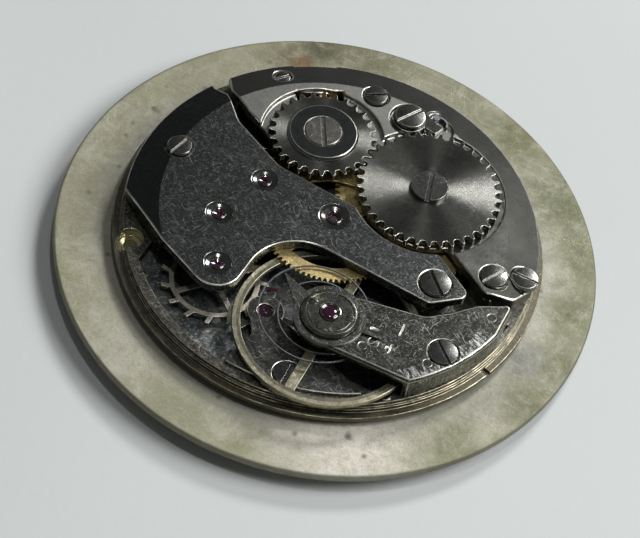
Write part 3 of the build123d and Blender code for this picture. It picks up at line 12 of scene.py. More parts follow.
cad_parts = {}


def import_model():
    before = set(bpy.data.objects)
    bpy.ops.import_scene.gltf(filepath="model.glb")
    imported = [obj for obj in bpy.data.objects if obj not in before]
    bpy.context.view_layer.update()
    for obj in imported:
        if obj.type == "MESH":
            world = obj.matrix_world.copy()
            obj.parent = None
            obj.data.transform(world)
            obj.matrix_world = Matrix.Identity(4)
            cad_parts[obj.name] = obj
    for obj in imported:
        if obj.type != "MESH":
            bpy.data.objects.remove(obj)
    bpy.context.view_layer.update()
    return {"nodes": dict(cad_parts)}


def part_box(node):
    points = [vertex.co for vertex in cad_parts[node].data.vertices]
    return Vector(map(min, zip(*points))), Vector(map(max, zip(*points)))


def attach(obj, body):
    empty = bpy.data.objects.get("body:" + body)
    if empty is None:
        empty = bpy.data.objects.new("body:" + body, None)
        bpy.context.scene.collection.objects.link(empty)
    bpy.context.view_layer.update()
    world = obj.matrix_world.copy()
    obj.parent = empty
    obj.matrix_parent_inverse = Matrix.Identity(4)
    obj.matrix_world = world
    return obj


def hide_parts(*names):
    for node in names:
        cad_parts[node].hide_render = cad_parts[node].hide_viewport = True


LOG = logging.getLogger("movement")
MM = 0.001
Colour = tuple[float, float, float]
Point = tuple[float, float]
Value = Union[bpy.types.NodeSocket, float, Sequence[float]]
AXIS: Point = (0.0, 0.0)
SHARP_ANGLE = 20.0


class Finish(Protocol):
    """What every finish offers to the bench."""

    @property
    def name(self) -> str:
        """Name of the finish's material."""

    def material(self) -> bpy.types.Material:
        """Builds the finish as a material."""


class Tone(Enum):
    """How the grain of a finish lies."""

    PLAIN = "plain"
    CIRCULAR = "circular"


class Body(Enum):
    """Bodies of the movement that extra pieces ride on."""

    MOVEMENT = "movement"
    REGULATOR = "regulator"


class Board:
    """Short-hand for wiring the nodes of one material."""

    bends_per_mm: ClassVar[float] = 0.6
    bend_reach: ClassVar[float] = 1.1
    line_soft: ClassVar[float] = 0.05
    line_lengths: ClassVar[tuple[float, float, float]] = (0.7, 1.6, 2.5)
    line_rarer: ClassVar[float] = 0.012
    line_shift: ClassVar[float] = 3.7

    def __init__(self, name: str) -> None:
        """Starts a material whose pattern coordinates are millimetres on the piece.

        Args:
            name: Name of the material.
        """
        self.material = bpy.data.materials.new(name)
        self.material.use_nodes = True
        self.tree = self.material.node_tree
        self.tree.nodes.clear()
        self.shader = self.node("ShaderNodeBsdfPrincipled")
        end = self.node("ShaderNodeOutputMaterial")
        self.link(self.shader.outputs[0], end.inputs["Surface"])
        source = self.node("ShaderNodeTexCoord").outputs["Object"]
        self.place = self.vector("SCALE", source, scale=1 / MM)

    def node(self, kind: str, **values: object) -> bpy.types.Node:
        """Adds a node of a kind and sets its attributes.

        Args:
            kind: Blender's name of the node type.
            values: Attributes to set on the node.

        Returns:
            The new node.
        """
        made = self.tree.nodes.new(kind)
        for key, value in values.items():
            setattr(made, key, value)
        return made

    def link(self, source: Value, target: bpy.types.NodeSocket) -> None:
        """Links a socket, or sets a plain value, on an input.

        Args:
            source: Socket to link from, or a plain value.
            target: Input that takes it.
        """
        if isinstance(source, bpy.types.NodeSocket):
            self.tree.links.new(source, target)
        else:
            target.default_value = source

    def math(self, operation: str, first: Value, second: Value = 0.0) -> bpy.types.NodeSocket:
        """Combines two numbers.

        Args:
            operation: Blender's name of the operation.
            first: First number or socket.
            second: Second number or socket.

        Returns:
            The result.
        """
        made = self.node("ShaderNodeMath", operation=operation)
        self.link(first, made.inputs[0])
        self.link(second, made.inputs[1])
        return made.outputs[0]

    def vector(self, operation: str, first: Value, second: Optional[Value] = None,
               scale: Optional[float] = None) -> bpy.types.NodeSocket:
        """Combines two vectors.

        Args:
            operation: Blender's name of the operation.
            first: First vector or socket.
            second: Second vector or socket, if the operation has one.
            scale: Factor, for scaling.

        Returns:
            The result, a number for lengths and distances.
        """
        made = self.node("ShaderNodeVectorMath", operation=operation)
        self.link(first, made.inputs[0])
        if second is not None:
            self.link(second, made.inputs[1])
        if scale is not None:
            made.inputs["Scale"].default_value = scale
        return made.outputs["Value" if operation in ("LENGTH", "DISTANCE") else "Vector"]

    def stretch(self, place: bpy.types.NodeSocket, size: Sequence[float],
                turn: float = 0.0, shift: float = 0.0) -> bpy.types.NodeSocket:
        """Turns pattern coordinates about Z and divides them by a size per axis.

        Args:
            place: Coordinates in millimetres.
            size: Length of the pattern along each axis.
            turn: Turn about Z in degrees.
            shift: Offset that makes one layer differ from the next.

        Returns:
            The new coordinates.
        """
        made = self.node("ShaderNodeMapping", vector_type="POINT")
        self.link(place, made.inputs["Vector"])
        made.inputs["Rotation"].default_value = (0.0, 0.0, math.radians(turn))
        made.inputs["Location"].default_value = (shift, -shift, 0.0)
        return self.vector("DIVIDE", made.outputs[0], tuple(size))

    def noise(self, place: bpy.types.NodeSocket, scale: float = 1.0, detail: float = 3.0,
              rough: float = 0.55, distortion: float = 0.0) -> bpy.types.NodeSocket:
        """Soft noise between about 0.3 and 0.7.

        Args:
            place: Coordinates of the pattern.
            scale: Number of features per unit of the coordinates.
            detail: Number of finer layers.
            rough: Strength of the finer layers.
            distortion: How far the pattern bends itself.

        Returns:
            The noise.
        """
        made = self.node("ShaderNodeTexNoise")
        self.link(place, made.inputs["Vector"])
        made.inputs["Scale"].default_value = scale
        made.inputs["Detail"].default_value = detail
        made.inputs["Roughness"].default_value = rough
        made.inputs["Distortion"].default_value = distortion
        return made.outputs[0]

    def span(self, value: bpy.types.NodeSocket, low: float, high: float, start: float = 0.0,
             end: float = 1.0) -> bpy.types.NodeSocket:
        """Maps low..high on start..end and clamps it.

        Args:
            value: Number to map.
            low: Value that gives the start.
            high: Value that gives the end.
            start: Result at low.
            end: Result at high.

        Returns:
            The mapped number.
        """
        made = self.node("ShaderNodeMapRange")
        for socket, given in zip(made.inputs, (value, low, high, start, end)):
            self.link(given, socket)
        return made.outputs[0]

    def mix(self, share: Value, first: Value, second: Value) -> bpy.types.NodeSocket:
        """Mixes two colours.

        Args:
            share: How much of the second colour shows.
            first: First colour or socket.
            second: Second colour or socket.

        Returns:
            The mixed colour.
        """
        made = self.node("ShaderNodeMix", data_type="RGBA")
        self.link(share, made.inputs["Factor"])
        for key, given in (("A", first), ("B", second)):
            socket = [s for s in made.inputs if s.name == key and s.type == "RGBA"][0]
            self.link((*given, 1.0) if isinstance(given, tuple) else given, socket)
        return [s for s in made.outputs if s.type == "RGBA"][0]

    def scratches(self, bearings: Sequence[float], length: float, width: float,
                  keep: float) -> bpy.types.NodeSocket:
        """Fine scratches laid in several directions.

        Args:
            bearings: Directions in degrees.
            length: Usual length of a scratch in millimetres.
            width: Usual width of a scratch in millimetres.
            keep: Noise level above which a scratch shows.

        Returns:
            A mask that is 1 on a scratch.
        """
        bend = self.vector("SCALE", self.drift(self.bends_per_mm), scale=self.bend_reach)
        bent = self.vector("ADD", self.place, bend)
        total: Value = 0.0
        for index, bearing in enumerate(bearings):
            share = self.line_lengths[index % len(self.line_lengths)]
            lain = self.stretch(bent, (length * share, width, 1.0), bearing,
                                self.line_shift * index)
            limit = keep + self.line_rarer * (index % 2)
            line = self.span(self.noise(lain, detail=2.0, rough=0.5), limit,
                             limit + self.line_soft)
            total = self.math("MAXIMUM", total, line)
        return total

    def drift(self, scale: float) -> bpy.types.NodeSocket:
        """Three noises at once, for bending coordinates.

        Args:
            scale: Number of features per millimetre.

        Returns:
            The three noises as one vector.
        """
        made = self.node("ShaderNodeTexNoise")
        self.link(self.place, made.inputs["Vector"])
        made.inputs["Scale"].default_value = scale
        made.inputs["Detail"].default_value = 1.0
        return made.outputs[1]

    def height(self) -> bpy.types.NodeSocket:
        """Height of a point on the piece in millimetres.

        Returns:
            The height.
        """
        made = self.node("ShaderNodeSeparateXYZ")
        self.link(self.place, made.inputs[0])
        return made.outputs[2]

    def near(self, at: Point, radius: float, soft: float = 0.05) -> bpy.types.NodeSocket:
        """Mask that is 1 inside a circle on the movement.

        Args:
            at: Middle of the circle.
            radius: Its radius.
            soft: Half width of its soft edge.

        Returns:
            The mask.
        """
        return self.span(self.away(at), radius - soft, radius + soft, 1.0, 0.0)

    def away(self, at: Point) -> bpy.types.NodeSocket:
        """Distance in plan from an upright axis, in millimetres."""
        flat = self.vector("MULTIPLY", self.place, (1.0, 1.0, 0.0))
        return self.vector("DISTANCE", flat, (at[0], at[1], 0.0))

    def bump(self, height: Value, depth: float) -> None:
        """Gives the shader a relief of a depth in millimetres.

        Args:
            height: Relief between 0 and 1.
            depth: Depth of a full step.
        """
        made = self.node("ShaderNodeBump")
        made.inputs["Strength"].default_value = 1.0
        made.inputs["Distance"].default_value = depth * MM
        self.link(height, made.inputs["Height"])
        self.link(made.outputs[0], self.shader.inputs["Normal"])

    def around(self, at: Point) -> None:
        """Lays the brushing in circles about an upright axis.

        Args:
            at: Place of the axis.
        """
        here = self.node("ShaderNodeNewGeometry").outputs["Position"]
        flat = self.vector("MULTIPLY", here, (1.0, 1.0, 0.0))
        arm = self.vector("SUBTRACT", flat, (at[0] * MM, at[1] * MM, 0.0))
        self.link(self.vector("NORMALIZE", arm), self.shader.inputs["Tangent"])

    def rings(self, at: Point, pitch: float) -> bpy.types.NodeSocket:
        """Noise that changes only with the distance from an axis.

        Args:
            at: Place of the axis.
            pitch: Width of one ring.

        Returns:
            The noise.
        """
        made = self.node("ShaderNodeTexNoise", noise_dimensions="1D")
        self.link(self.math("DIVIDE", self.away(at), pitch), made.inputs["W"])
        made.inputs["Scale"].default_value = 1.0
        made.inputs["Detail"].default_value = 2.0
        return made.outputs[0]


@dataclass
class Surface:
    """Colour, roughness and relief of a finish while its layers are laid on."""

    colour: Value
    rough: Value
    relief: Value


@dataclass(frozen=True)
class Metal:
    """Bare or plated metal with mottling, fine scratches and dull patches, which are soiling on
    most pieces and a painted olive reflection on the cap setting.
    """

    name: str
    colour: Colour
    shade: Colour
    roughness: float = 0.3
    rough_spread: float = 0.15
    scratch_light: Colour = (0.62, 0.62, 0.60)
    scratch_keep: float = 0.64
    scratch_share: float = 0.5
    scratch_length: float = 0.6
    scratch_width: float = 0.035
    scratch_rough: float = 0.10
    mottle_size: float = 1.2
    speckle: float = 0.0
    # colour of the dull patches and dark specks; on the cap setting it is a painted olive
    # reflection
    grime_and_sheen: Colour = (0.05, 0.045, 0.04)
    grime_and_sheen_share: float = 0.0
    bump_depth: float = 0.0015
    anisotropy: float = 0.0
    centre: Point = (0.0, 0.0)
    tone: Tone = Tone.PLAIN
    fine_per_mm: ClassVar[float] = 14.0
    fine_rough: ClassVar[float] = 0.06
    fine_relief: ClassVar[float] = 0.25
    speckles_per_mm: ClassVar[float] = 6.5
    scratch_bearings: ClassVar[tuple[float, ...]] = (9.0, 41.0, 66.0, 103.0, 147.0)
    grain_pitch: ClassVar[float] = 0.05
    grain_share: ClassVar[float] = 0.3
    grain_relief: ClassVar[float] = 0.6
    grime_and_sheen_per_mm: ClassVar[float] = 0.9
    grime_and_sheen_rough: ClassVar[float] = 0.3

    def tint(self, board: Board, colour: Value) -> Value:
        """Colour after what is particular to one place of the piece; plain metal has none."""
        return colour

    def polish(self, board: Board, rough: Value) -> Value:
        """Roughness after what is particular to one place; plain metal has none."""
        return rough

    def ground(self, board: Board) -> Surface:
        """Lays the mottled metal itself.

        Args:
            board: The material's wiring.

        Returns:
            The bare surface.
        """
        broad = board.noise(board.place, 1.0 / self.mottle_size, 5.0, 0.65)
        fine = board.noise(board.place, self.fine_per_mm, 3.0, 0.6)
        colour = board.mix(board.span(broad, 0.36, 0.64), self.shade, self.colour)
        rough = board.span(broad, 0.3, 0.7, self.roughness + self.rough_spread, self.roughness)
        rough = board.math("ADD", rough, board.span(fine, 0.3, 0.7, 0.0, self.fine_rough))
        return Surface(colour, rough, board.math("MULTIPLY", fine, self.fine_relief))

    def lay_speckle(self, board: Board, surface: Surface) -> None:
        """Scatters light and dark specks.

        Args:
            board: The material's wiring.
            surface: The surface that takes them.
        """
        grains = board.noise(board.place, self.speckles_per_mm, 4.0, 0.75, 0.8)
        surface.colour = board.mix(board.span(grains, 0.52, 0.62, 0.0, self.speckle),
                                   surface.colour, self.scratch_light)
        surface.colour = board.mix(board.span(grains, 0.38, 0.48, self.speckle, 0.0),
                                   surface.colour, self.grime_and_sheen)

    def lay_scratches(self, board: Board, surface: Surface) -> None:
        """Scores the metal with short fine scratches in several directions.

        Args:
            board: The material's wiring.
            surface: The surface that takes them.
        """
        lines = board.scratches(self.scratch_bearings, self.scratch_length,
                                self.scratch_width, self.scratch_keep)
        share = board.math("MULTIPLY", lines, self.scratch_share)
        surface.colour = board.mix(share, surface.colour, self.scratch_light)
        surface.relief = board.math("SUBTRACT", surface.relief, lines)
        surface.rough = board.math("ADD", surface.rough,
                                   board.math("MULTIPLY", lines, self.scratch_rough))

    def lay_grain(self, board: Board, surface: Surface) -> None:
        """Brushes the metal in circles about its centre.

        Args:
            board: The material's wiring.
            surface: The surface that is brushed.
        """
        turned = board.rings(self.centre, self.grain_pitch)
        surface.colour = board.mix(board.span(turned, 0.35, 0.65, 0.0, self.grain_share),
                                   surface.colour, self.shade)
        surface.relief = board.math("ADD", surface.relief,
                                    board.math("MULTIPLY", turned, self.grain_relief))
        board.around(self.centre)
        board.shader.inputs["Anisotropic"].default_value = self.anisotropy

    def lay_grime_and_sheen(self, board: Board, surface: Surface) -> None:
        """Leaves dull patches: soiling on most pieces, a painted olive reflection on the cap
        setting.

        Args:
            board: The material's wiring.
            surface: The surface that takes it.
        """
        spots = board.noise(board.place, self.grime_and_sheen_per_mm, 6.0, 0.7, 0.6)
        grime_and_sheen_mask = board.span(spots, 0.54, 0.70, 0.0, self.grime_and_sheen_share)
        surface.colour = board.mix(grime_and_sheen_mask, surface.colour, self.grime_and_sheen)
        surface.rough = board.math("ADD", surface.rough,
                                   board.math("MULTIPLY", grime_and_sheen_mask, self.grime_and_sheen_rough))

    def material(self) -> bpy.types.Material:
        """Lays the layers one over the other.

        Returns:
            The finished material.
        """
        board = Board(self.name)
        surface = self.ground(board)
        if self.speckle > 0.0:
            self.lay_speckle(board, surface)
        if self.scratch_share > 0.0:
            self.lay_scratches(board, surface)
        if self.tone is Tone.CIRCULAR:
            self.lay_grain(board, surface)
        if self.grime_and_sheen_share > 0.0:
            self.lay_grime_and_sheen(board, surface)
        board.link(self.tint(board, surface.colour), board.shader.inputs["Base Color"])
        board.link(self.polish(board, surface.rough), board.shader.inputs["Roughness"])
        board.shader.inputs["Metallic"].default_value = 1.0
        board.bump(surface.relief, self.bump_depth)
        return board.material


@dataclass(frozen=True)
class BridgeMetal(Metal):
    """Bridge nickel, with painted shade darkening the broad bevel that falls to the rim."""

    bevel_start: float = 9.5
    bevel_soft: float = 0.03
    # painted shade: darker colour laid on the outer bevel
    bevel_painted_shade: Colour = (0.09, 0.09, 0.085)
    bevel_shade_share: float = 0.8
    # painted shade: a ragged dark patch over the right side of the bridge
    painted_shade_at: Point = (9.5, -2.5)
    painted_shade_radius: float = 8.0
    painted_shade_soft: float = 4.4
    painted_shade_colour: Colour = (0.062, 0.062, 0.056)
    painted_shade_share: float = 0.0

    def tint(self, board: Board, colour: Value) -> Value:
        """Paints shade on everything outside the bevel's line, and a ragged patch of painted shade
        over the right side.

        Args:
            board: The material's wiring.
            colour: Colour of the nickel.

        Returns:
            The colour with both places in it.
        """
        # painted shade on the bevel outside its line
        outside = board.span(board.away(AXIS), self.bevel_start - self.bevel_soft,
                             self.bevel_start + self.bevel_soft, 0.0, self.bevel_shade_share)
        colour = board.mix(outside, colour, self.bevel_painted_shade)
        # painted shade over the right side of the bridge
        if self.painted_shade_share > 0.0:
            painted_shade_mask = board.near(self.painted_shade_at, self.painted_shade_radius, self.painted_shade_soft)
            ragged = board.span(board.noise(board.place, 0.8, 5.0, 0.7), 0.32, 0.60, 0.7, 1.0)
            share = board.math("MULTIPLY", board.math("MULTIPLY", painted_shade_mask, ragged),
                               self.painted_shade_share)
            colour = board.mix(share, colour, self.painted_shade_colour)
        return colour


@dataclass(frozen=True)
class PlateMetal(Metal):
    """Main plate nickel with a blue-black sunk floor and a bare brass screw hole."""

    floor_level: float = 0.66
    floor_fade: float = 0.08
    floor_reach: float = 10.72
    floor_rough: float = 0.14
    floor_colour: Colour = (0.20, 0.212, 0.198)
    floor_deep: Colour = (0.055, 0.066, 0.074)
    floor_spots: Colour = (0.52, 0.50, 0.42)
    wall_start: float = 11.45
    wall_share: float = 0.75
    wall_colour: Colour = (0.12, 0.108, 0.075)
    edge_soft: float = 0.05
    hole: Point = (-10.9, -0.6)
    hole_radius: float = 0.80
    hole_levels: Point = (1.16, 1.19)
    hole_colour: Colour = (0.66, 0.62, 0.42)
    hole_gloss: float = -0.16

    def floor_mask(self, board: Board) -> Value:
        """Mask that is 1 on the floor of the recess.

        Args:
            board: The material's wiring.

        Returns:
            The mask.
        """
        low = board.span(board.height(), self.floor_level, self.floor_level + self.floor_fade,
                         1.0, 0.0)
        inside = board.span(board.away(AXIS), self.floor_reach - self.edge_soft,
                            self.floor_reach + self.edge_soft, 1.0, 0.0)
        return board.math("MULTIPLY", low, inside)

    def hole_mask(self, board: Board) -> Value:
        """Mask that is 1 on the bare walls of the worn hole.

        Args:
            board: The material's wiring.

        Returns:
            The mask.
        """
        return board.math("MULTIPLY", board.near(self.hole, self.hole_radius),
                          board.span(board.height(), *self.hole_levels, 1.0, 0.0))

    def polish(self, board: Board, rough: Value) -> Value:
        """Leaves the floor of the recess matt and the worn hole bright.

        Args:
            board: The material's wiring.
            rough: Roughness of the nickel.

        Returns:
            The roughness with both places in it.
        """
        matt = board.math("ADD", rough, board.math("MULTIPLY", self.floor_mask(board),
                                                   self.floor_rough))
        return board.math("ADD", matt, board.math("MULTIPLY", self.hole_mask(board),
                                                  self.hole_gloss))

    def tint(self, board: Board, colour: Value) -> Value:
        """Lays the dark floor, the darker brown outer wall and the brass of the worn hole on the
        nickel.

        Args:
            board: The material's wiring.
            colour: Colour of the nickel.

        Returns:
            The colour with the three places in it.
        """
        broad = board.noise(board.place, 1.3, 8.0, 0.80, 0.3)
        floor = board.mix(board.span(broad, 0.44, 0.60), self.floor_deep, self.floor_colour)
        cloud = board.noise(board.place, 5.0, 6.0, 0.75, 0.2)
        floor = board.mix(board.span(cloud, 0.55, 0.62, 0.0, 0.9), floor, self.floor_spots)
        colour = board.mix(self.floor_mask(board), colour, floor)
        wall = board.span(board.away(AXIS), self.wall_start - self.edge_soft,
                          self.wall_start + self.edge_soft, 0.0, self.wall_share)
        colour = board.mix(wall, colour, self.wall_colour)
        return board.mix(self.hole_mask(board), colour, self.hole_colour)


@dataclass(frozen=True)
class CockMetal(Metal):
    """Cock nickel, filed bright in short strokes along its outer edge."""

    filed_from: float = 10.35
    filed_ragged: float = 0.35
    filed_at: Point = (5.0, -9.6)
    filed_reach: float = 2.9
    filed_soft: float = 0.4
    filed_level: float = 2.54
    filed_colour: Colour = (0.85, 0.85, 0.82)
    filed_share: float = 0.9
    strokes_per_radian: float = 62.0
    strokes_per_mm: float = 1.1

    def tint(self, board: Board, colour: Value) -> Value:
        """Lays short bright strokes across the outer edge.

        Args:
            board: The material's wiring.
            colour: Colour of the nickel.

        Returns:
            The colour with the strokes in it.
        """
        away = board.away(AXIS)
        part = board.node("ShaderNodeSeparateXYZ")
        board.link(board.place, part.inputs[0])
        bearing = board.math("ARCTAN2", part.outputs[1], part.outputs[0])
        laid = board.node("ShaderNodeCombineXYZ")
        board.link(board.math("MULTIPLY", bearing, self.strokes_per_radian), laid.inputs[0])
        board.link(board.math("MULTIPLY", away, self.strokes_per_mm), laid.inputs[1])
        strokes = board.span(board.noise(laid.outputs[0], 1.0, 4.0, 0.65), 0.47, 0.55)
        ragged = board.noise(board.place, 1.6, 3.0, 0.6)
        start = board.math("ADD", self.filed_from - self.filed_ragged,
                           board.math("MULTIPLY", ragged, 2.0 * self.filed_ragged))
        inside = board.math("GREATER_THAN", away, start)
        placed = board.math("MULTIPLY",
                            board.near(self.filed_at, self.filed_reach, self.filed_soft),
                            board.math("GREATER_THAN", part.outputs[2], self.filed_level))
        share = board.math("MULTIPLY", board.math("MULTIPLY", strokes, inside), placed)
        return board.mix(board.math("MULTIPLY", share, self.filed_share), colour,
                         self.filed_colour)


@dataclass(frozen=True)
class RimMetal(Metal):
    """Balance metal in two tones, pale outside a turned line on the rim and dark inside it."""

    line: float = 4.84
    line_soft: float = 0.03
    dark_reach: float = 0.25
    dark_fade: float = 0.05
    dark_share: float = 0.85
    inner: Colour = (0.16, 0.15, 0.11)

    def tint(self, board: Board, colour: Value) -> Value:
        """Darkens the inner part of the rim.

        Args:
            board: The material's wiring.
            colour: Colour of the rim.

        Returns:
            The colour with the dark part in it.
        """
        away = board.away(self.centre)
        start = self.line - self.dark_reach
        within = board.math("MULTIPLY",
                            board.span(away, self.line - self.line_soft,
                                       self.line + self.line_soft, self.dark_share, 0.0),
                            board.span(away, start, start + self.dark_fade))
        return board.mix(within, colour, self.inner)


@dataclass(frozen=True)
class Ruby:
    """Clear dark red synthetic stone."""

    name: str = "ruby"
    colour: Colour = (0.045, 0.004, 0.024)
    deep: Colour = (0.014, 0.002, 0.010)
    gloss: float = 0.05
    refraction: float = 1.76
    bump_depth: float = 0.001

    def material(self) -> bpy.types.Material:
        """Builds the stone as a material.

        Returns:
            The finished material.
        """
        board = Board(self.name)
        cloud = board.noise(board.place, 2.0, 2.0)
        board.link(board.mix(board.span(cloud, 0.35, 0.65), self.deep, self.colour),
                   board.shader.inputs["Base Color"])
        board.shader.inputs["Roughness"].default_value = self.gloss
        board.shader.inputs["IOR"].default_value = self.refraction
        board.bump(cloud, self.bump_depth)
        return board.material


@dataclass(frozen=True)
class StainOrSheen:
    """A patch of another colour on the dial: mostly stained spots, and two pale patches of painted
    sheen.
    """

    at: Point
    radius: float
    colour: Colour
    share: float


@dataclass(frozen=True)
class AgedSilver:
    """Back of the dial: matt silvering gone green and tan in clouds, with dark freckles, and
    painted sheen lightening its bottom and lower left.
    """

    name: str = "aged_silver"
    colour: Colour = (0.30, 0.288, 0.205)
    pale: Colour = (0.47, 0.455, 0.365)
    green: Colour = (0.185, 0.192, 0.112)
    sheltered: Colour = (0.385, 0.385, 0.345)
    verdigris: Colour = (0.245, 0.245, 0.125)
    crust: Colour = (0.50, 0.50, 0.40)
    tan: Colour = (0.25, 0.195, 0.11)
    freckle: Colour = (0.09, 0.08, 0.04)
    freckles_per_mm: float = 0.7
    sheltered_span: Point = (12.0, 13.4)
    verdigris_span: Point = (12.6, 14.4)
    stain_and_sheen_drift: float = 1.6
    rim_span: Point = (14.81, 14.94)
    rim_colour: Colour = (0.14, 0.13, 0.09)
    rim_share: float = 0.7
    metallic: float = 0.30
    bump_depth: float = 0.012
    moss_size: Sequence[float] = (1.6, 0.9, 2.0)
    moss_turn: float = 20.0
    rust_size: Sequence[float] = (2.0, 2.4, 2.0)
    streak_size: Sequence[float] = (2.8, 0.35, 2.0)
    streak_turn: float = 35.0
    layer_shifts: Sequence[float] = (11.0, 31.0, 7.0)
    scratch_bearings: Sequence[float] = (5.0, 70.0, 120.0)
    scratch_share: float = 0.15
    vein_half: Point = (0.004, 0.030)
    vein_relief: float = 1.5
    cloud_relief: float = 3.0
    stains_and_sheen: tuple[StainOrSheen, ...] = (
        StainOrSheen((-5.0, 12.6), 3.0, (0.24, 0.23, 0.145), 0.6),
        StainOrSheen((-0.5, 13.7), 1.9, (0.125, 0.110, 0.055), 0.9),
        StainOrSheen((-0.4, 13.2), 0.75, (0.17, 0.085, 0.025), 1.0),
        StainOrSheen((1.2, 14.5), 1.3, (0.050, 0.052, 0.022), 1.0),
        StainOrSheen((3.8, 13.6), 2.6, (0.135, 0.130, 0.070), 0.9),
        StainOrSheen((8.6, 11.2), 2.2, (0.20, 0.195, 0.125), 0.8),
        StainOrSheen((11.6, 8.0), 2.2, (0.140, 0.142, 0.068), 0.95),
        StainOrSheen((13.6, 3.4), 2.6, (0.150, 0.155, 0.085), 0.95),
        StainOrSheen((14.6, -0.6), 1.8, (0.150, 0.158, 0.080), 0.85),
        StainOrSheen((13.8, -4.4), 1.9, (0.145, 0.152, 0.078), 0.85),
        StainOrSheen((12.0, -7.9), 1.7, (0.150, 0.158, 0.080), 0.85),
        StainOrSheen((9.8, -10.6), 1.6, (0.142, 0.150, 0.074), 0.85),
        StainOrSheen((5.2, -12.9), 1.8, (0.170, 0.178, 0.092), 0.85),
        StainOrSheen((10.0, -7.6), 1.3, (0.215, 0.212, 0.185), 0.95),
        StainOrSheen((7.4, -9.8), 1.6, (0.26, 0.255, 0.205), 0.8),
        # painted sheen: a large pale patch lightening the bottom of the dial
        StainOrSheen((-0.2, -13.2), 3.6, (0.66, 0.625, 0.545), 0.95),
        StainOrSheen((0.0, -12.5), 0.22, (0.10, 0.095, 0.080), 0.9),
        StainOrSheen((-9.2, -11.2), 2.0, (0.27, 0.275, 0.18), 0.7),
        # painted sheen: a pale patch lightening the lower left of the dial
        StainOrSheen((-12.2, -7.4), 2.2, (0.46, 0.44, 0.37), 0.7),
        StainOrSheen((-13.2, 3.0), 2.0, (0.27, 0.255, 0.18), 0.6),
        StainOrSheen((-8.9, 9.3), 0.24, (0.115, 0.105, 0.045), 1.0),
        StainOrSheen((-10.6, 7.7), 0.18, (0.150, 0.140, 0.065), 1.0),
    )

    def lay_moss(self, board: Board, surface: Surface) -> None:
        """Clouds the silvering with green growth and tan rust.

        Args:
            board: The material's wiring.
            surface: The surface that takes them.
        """
        moss = board.noise(board.stretch(board.place, self.moss_size, self.moss_turn,
                                         self.layer_shifts[0]), 1.0, 8.0, 0.72)
        surface.colour = board.mix(board.span(moss, 0.54, 0.66, 0.0, 0.35), surface.colour,
                                   self.green)
        surface.rough = board.span(moss, 0.4, 0.65, 0.40, 0.62)
        rust = board.noise(board.stretch(board.place, self.rust_size, 0.0,
                                         self.layer_shifts[1]), 1.0, 7.0, 0.75)
        surface.colour = board.mix(board.span(rust, 0.60, 0.70, 0.0, 0.4), surface.colour,
                                   self.tan)

    def lay_verdigris(self, board: Board, surface: Surface) -> None:
        """Keeps the silver cleaner by the plate and crusts it green towards the edge.

        Args:
            board: The material's wiring.
            surface: The surface that takes both.
        """
        away = board.away(AXIS)
        surface.colour = board.mix(board.span(away, *self.sheltered_span, 0.55, 0.0),
                                   surface.colour, self.sheltered)
        patch = board.noise(board.place, 0.6, 6.0, 0.62, 0.3)
        share = board.math("MULTIPLY", board.span(away, *self.verdigris_span, 0.15, 1.0),
                           board.span(patch, 0.40, 0.62, 0.0, 0.62))
        surface.colour = board.mix(share, surface.colour, self.verdigris)
        crust = board.noise(board.place, 1.1, 9.0, 0.78, 1.6)
        vein = board.math("ABSOLUTE", board.math("SUBTRACT", crust, 0.5))
        veins = board.math("MULTIPLY", board.span(vein, *self.vein_half, 0.16, 0.0),
                           board.span(patch, 0.46, 0.56))
        surface.colour = board.mix(veins, surface.colour, self.crust)
        surface.relief = board.math("ADD", surface.relief,
                                    board.math("MULTIPLY", veins, self.vein_relief))

    def lay_stains_and_sheen(self, board: Board, surface: Surface) -> None:
        """Lays the single patches, the stained ones and the painted sheen, their outlines bent and
        ragged.

        Args:
            board: The material's wiring.
            surface: The surface that takes them.
        """
        drift = board.vector("SCALE", board.drift(0.8), scale=self.stain_and_sheen_drift)
        middle = (0.5 * self.stain_and_sheen_drift, 0.5 * self.stain_and_sheen_drift, 0.0)
        bent = board.vector("SUBTRACT", board.vector("ADD", board.place, drift), middle)
        flat = board.vector("MULTIPLY", bent, (1.0, 1.0, 0.0))
        ragged = board.span(board.noise(board.place, 1.4, 8.0, 0.75), 0.34, 0.54, 0.35, 1.0)
        for stain_or_sheen in self.stains_and_sheen:
            away = board.vector("DISTANCE", flat, (*stain_or_sheen.at, 0.0))
            place = board.span(away, 0.45 * stain_or_sheen.radius, 1.4 * stain_or_sheen.radius, 1.0, 0.0)
            share = board.math("MULTIPLY", board.math("MULTIPLY", place, ragged), stain_or_sheen.share)
            surface.colour = board.mix(share, surface.colour, stain_or_sheen.colour)

    def lay_wear(self, board: Board, surface: Surface) -> None:
        """Adds wiped streaks, freckles, fine mottling, scratches and the tarnished rim.

        Args:
            board: The material's wiring.
            surface: The surface that takes them.
        """
        streak = board.noise(board.stretch(board.place, self.streak_size, self.streak_turn,
                                           self.layer_shifts[2]), 1.0, 4.0, 0.6)
        colour = board.mix(board.span(streak, 0.60, 0.70, 0.0, 0.35), surface.colour, self.pale)
        spots = board.node("ShaderNodeTexVoronoi")
        board.link(board.place, spots.inputs["Vector"])
        spots.inputs["Scale"].default_value = self.freckles_per_mm
        dots = board.span(spots.outputs["Distance"], 0.05, 0.15, 0.6, 0.0)
        colour = board.mix(dots, colour, self.freckle)
        fine = board.noise(board.place, 5.0, 6.0, 0.78, 1.0)
        colour = board.mix(board.span(fine, 0.36, 0.50, 0.42, 0.0), colour, self.green)
        colour = board.mix(board.span(fine, 0.54, 0.68, 0.0, 0.25), colour, self.pale)
        lines = board.scratches(self.scratch_bearings, 1.2, 0.05, 0.63)
        colour = board.mix(board.math("MULTIPLY", lines, self.scratch_share), colour, self.pale)
        rim = board.span(board.away(AXIS), *self.rim_span, 0.0, self.rim_share)
        surface.colour = board.mix(rim, colour, self.rim_colour)
        surface.relief = board.math("ADD", surface.relief, fine)

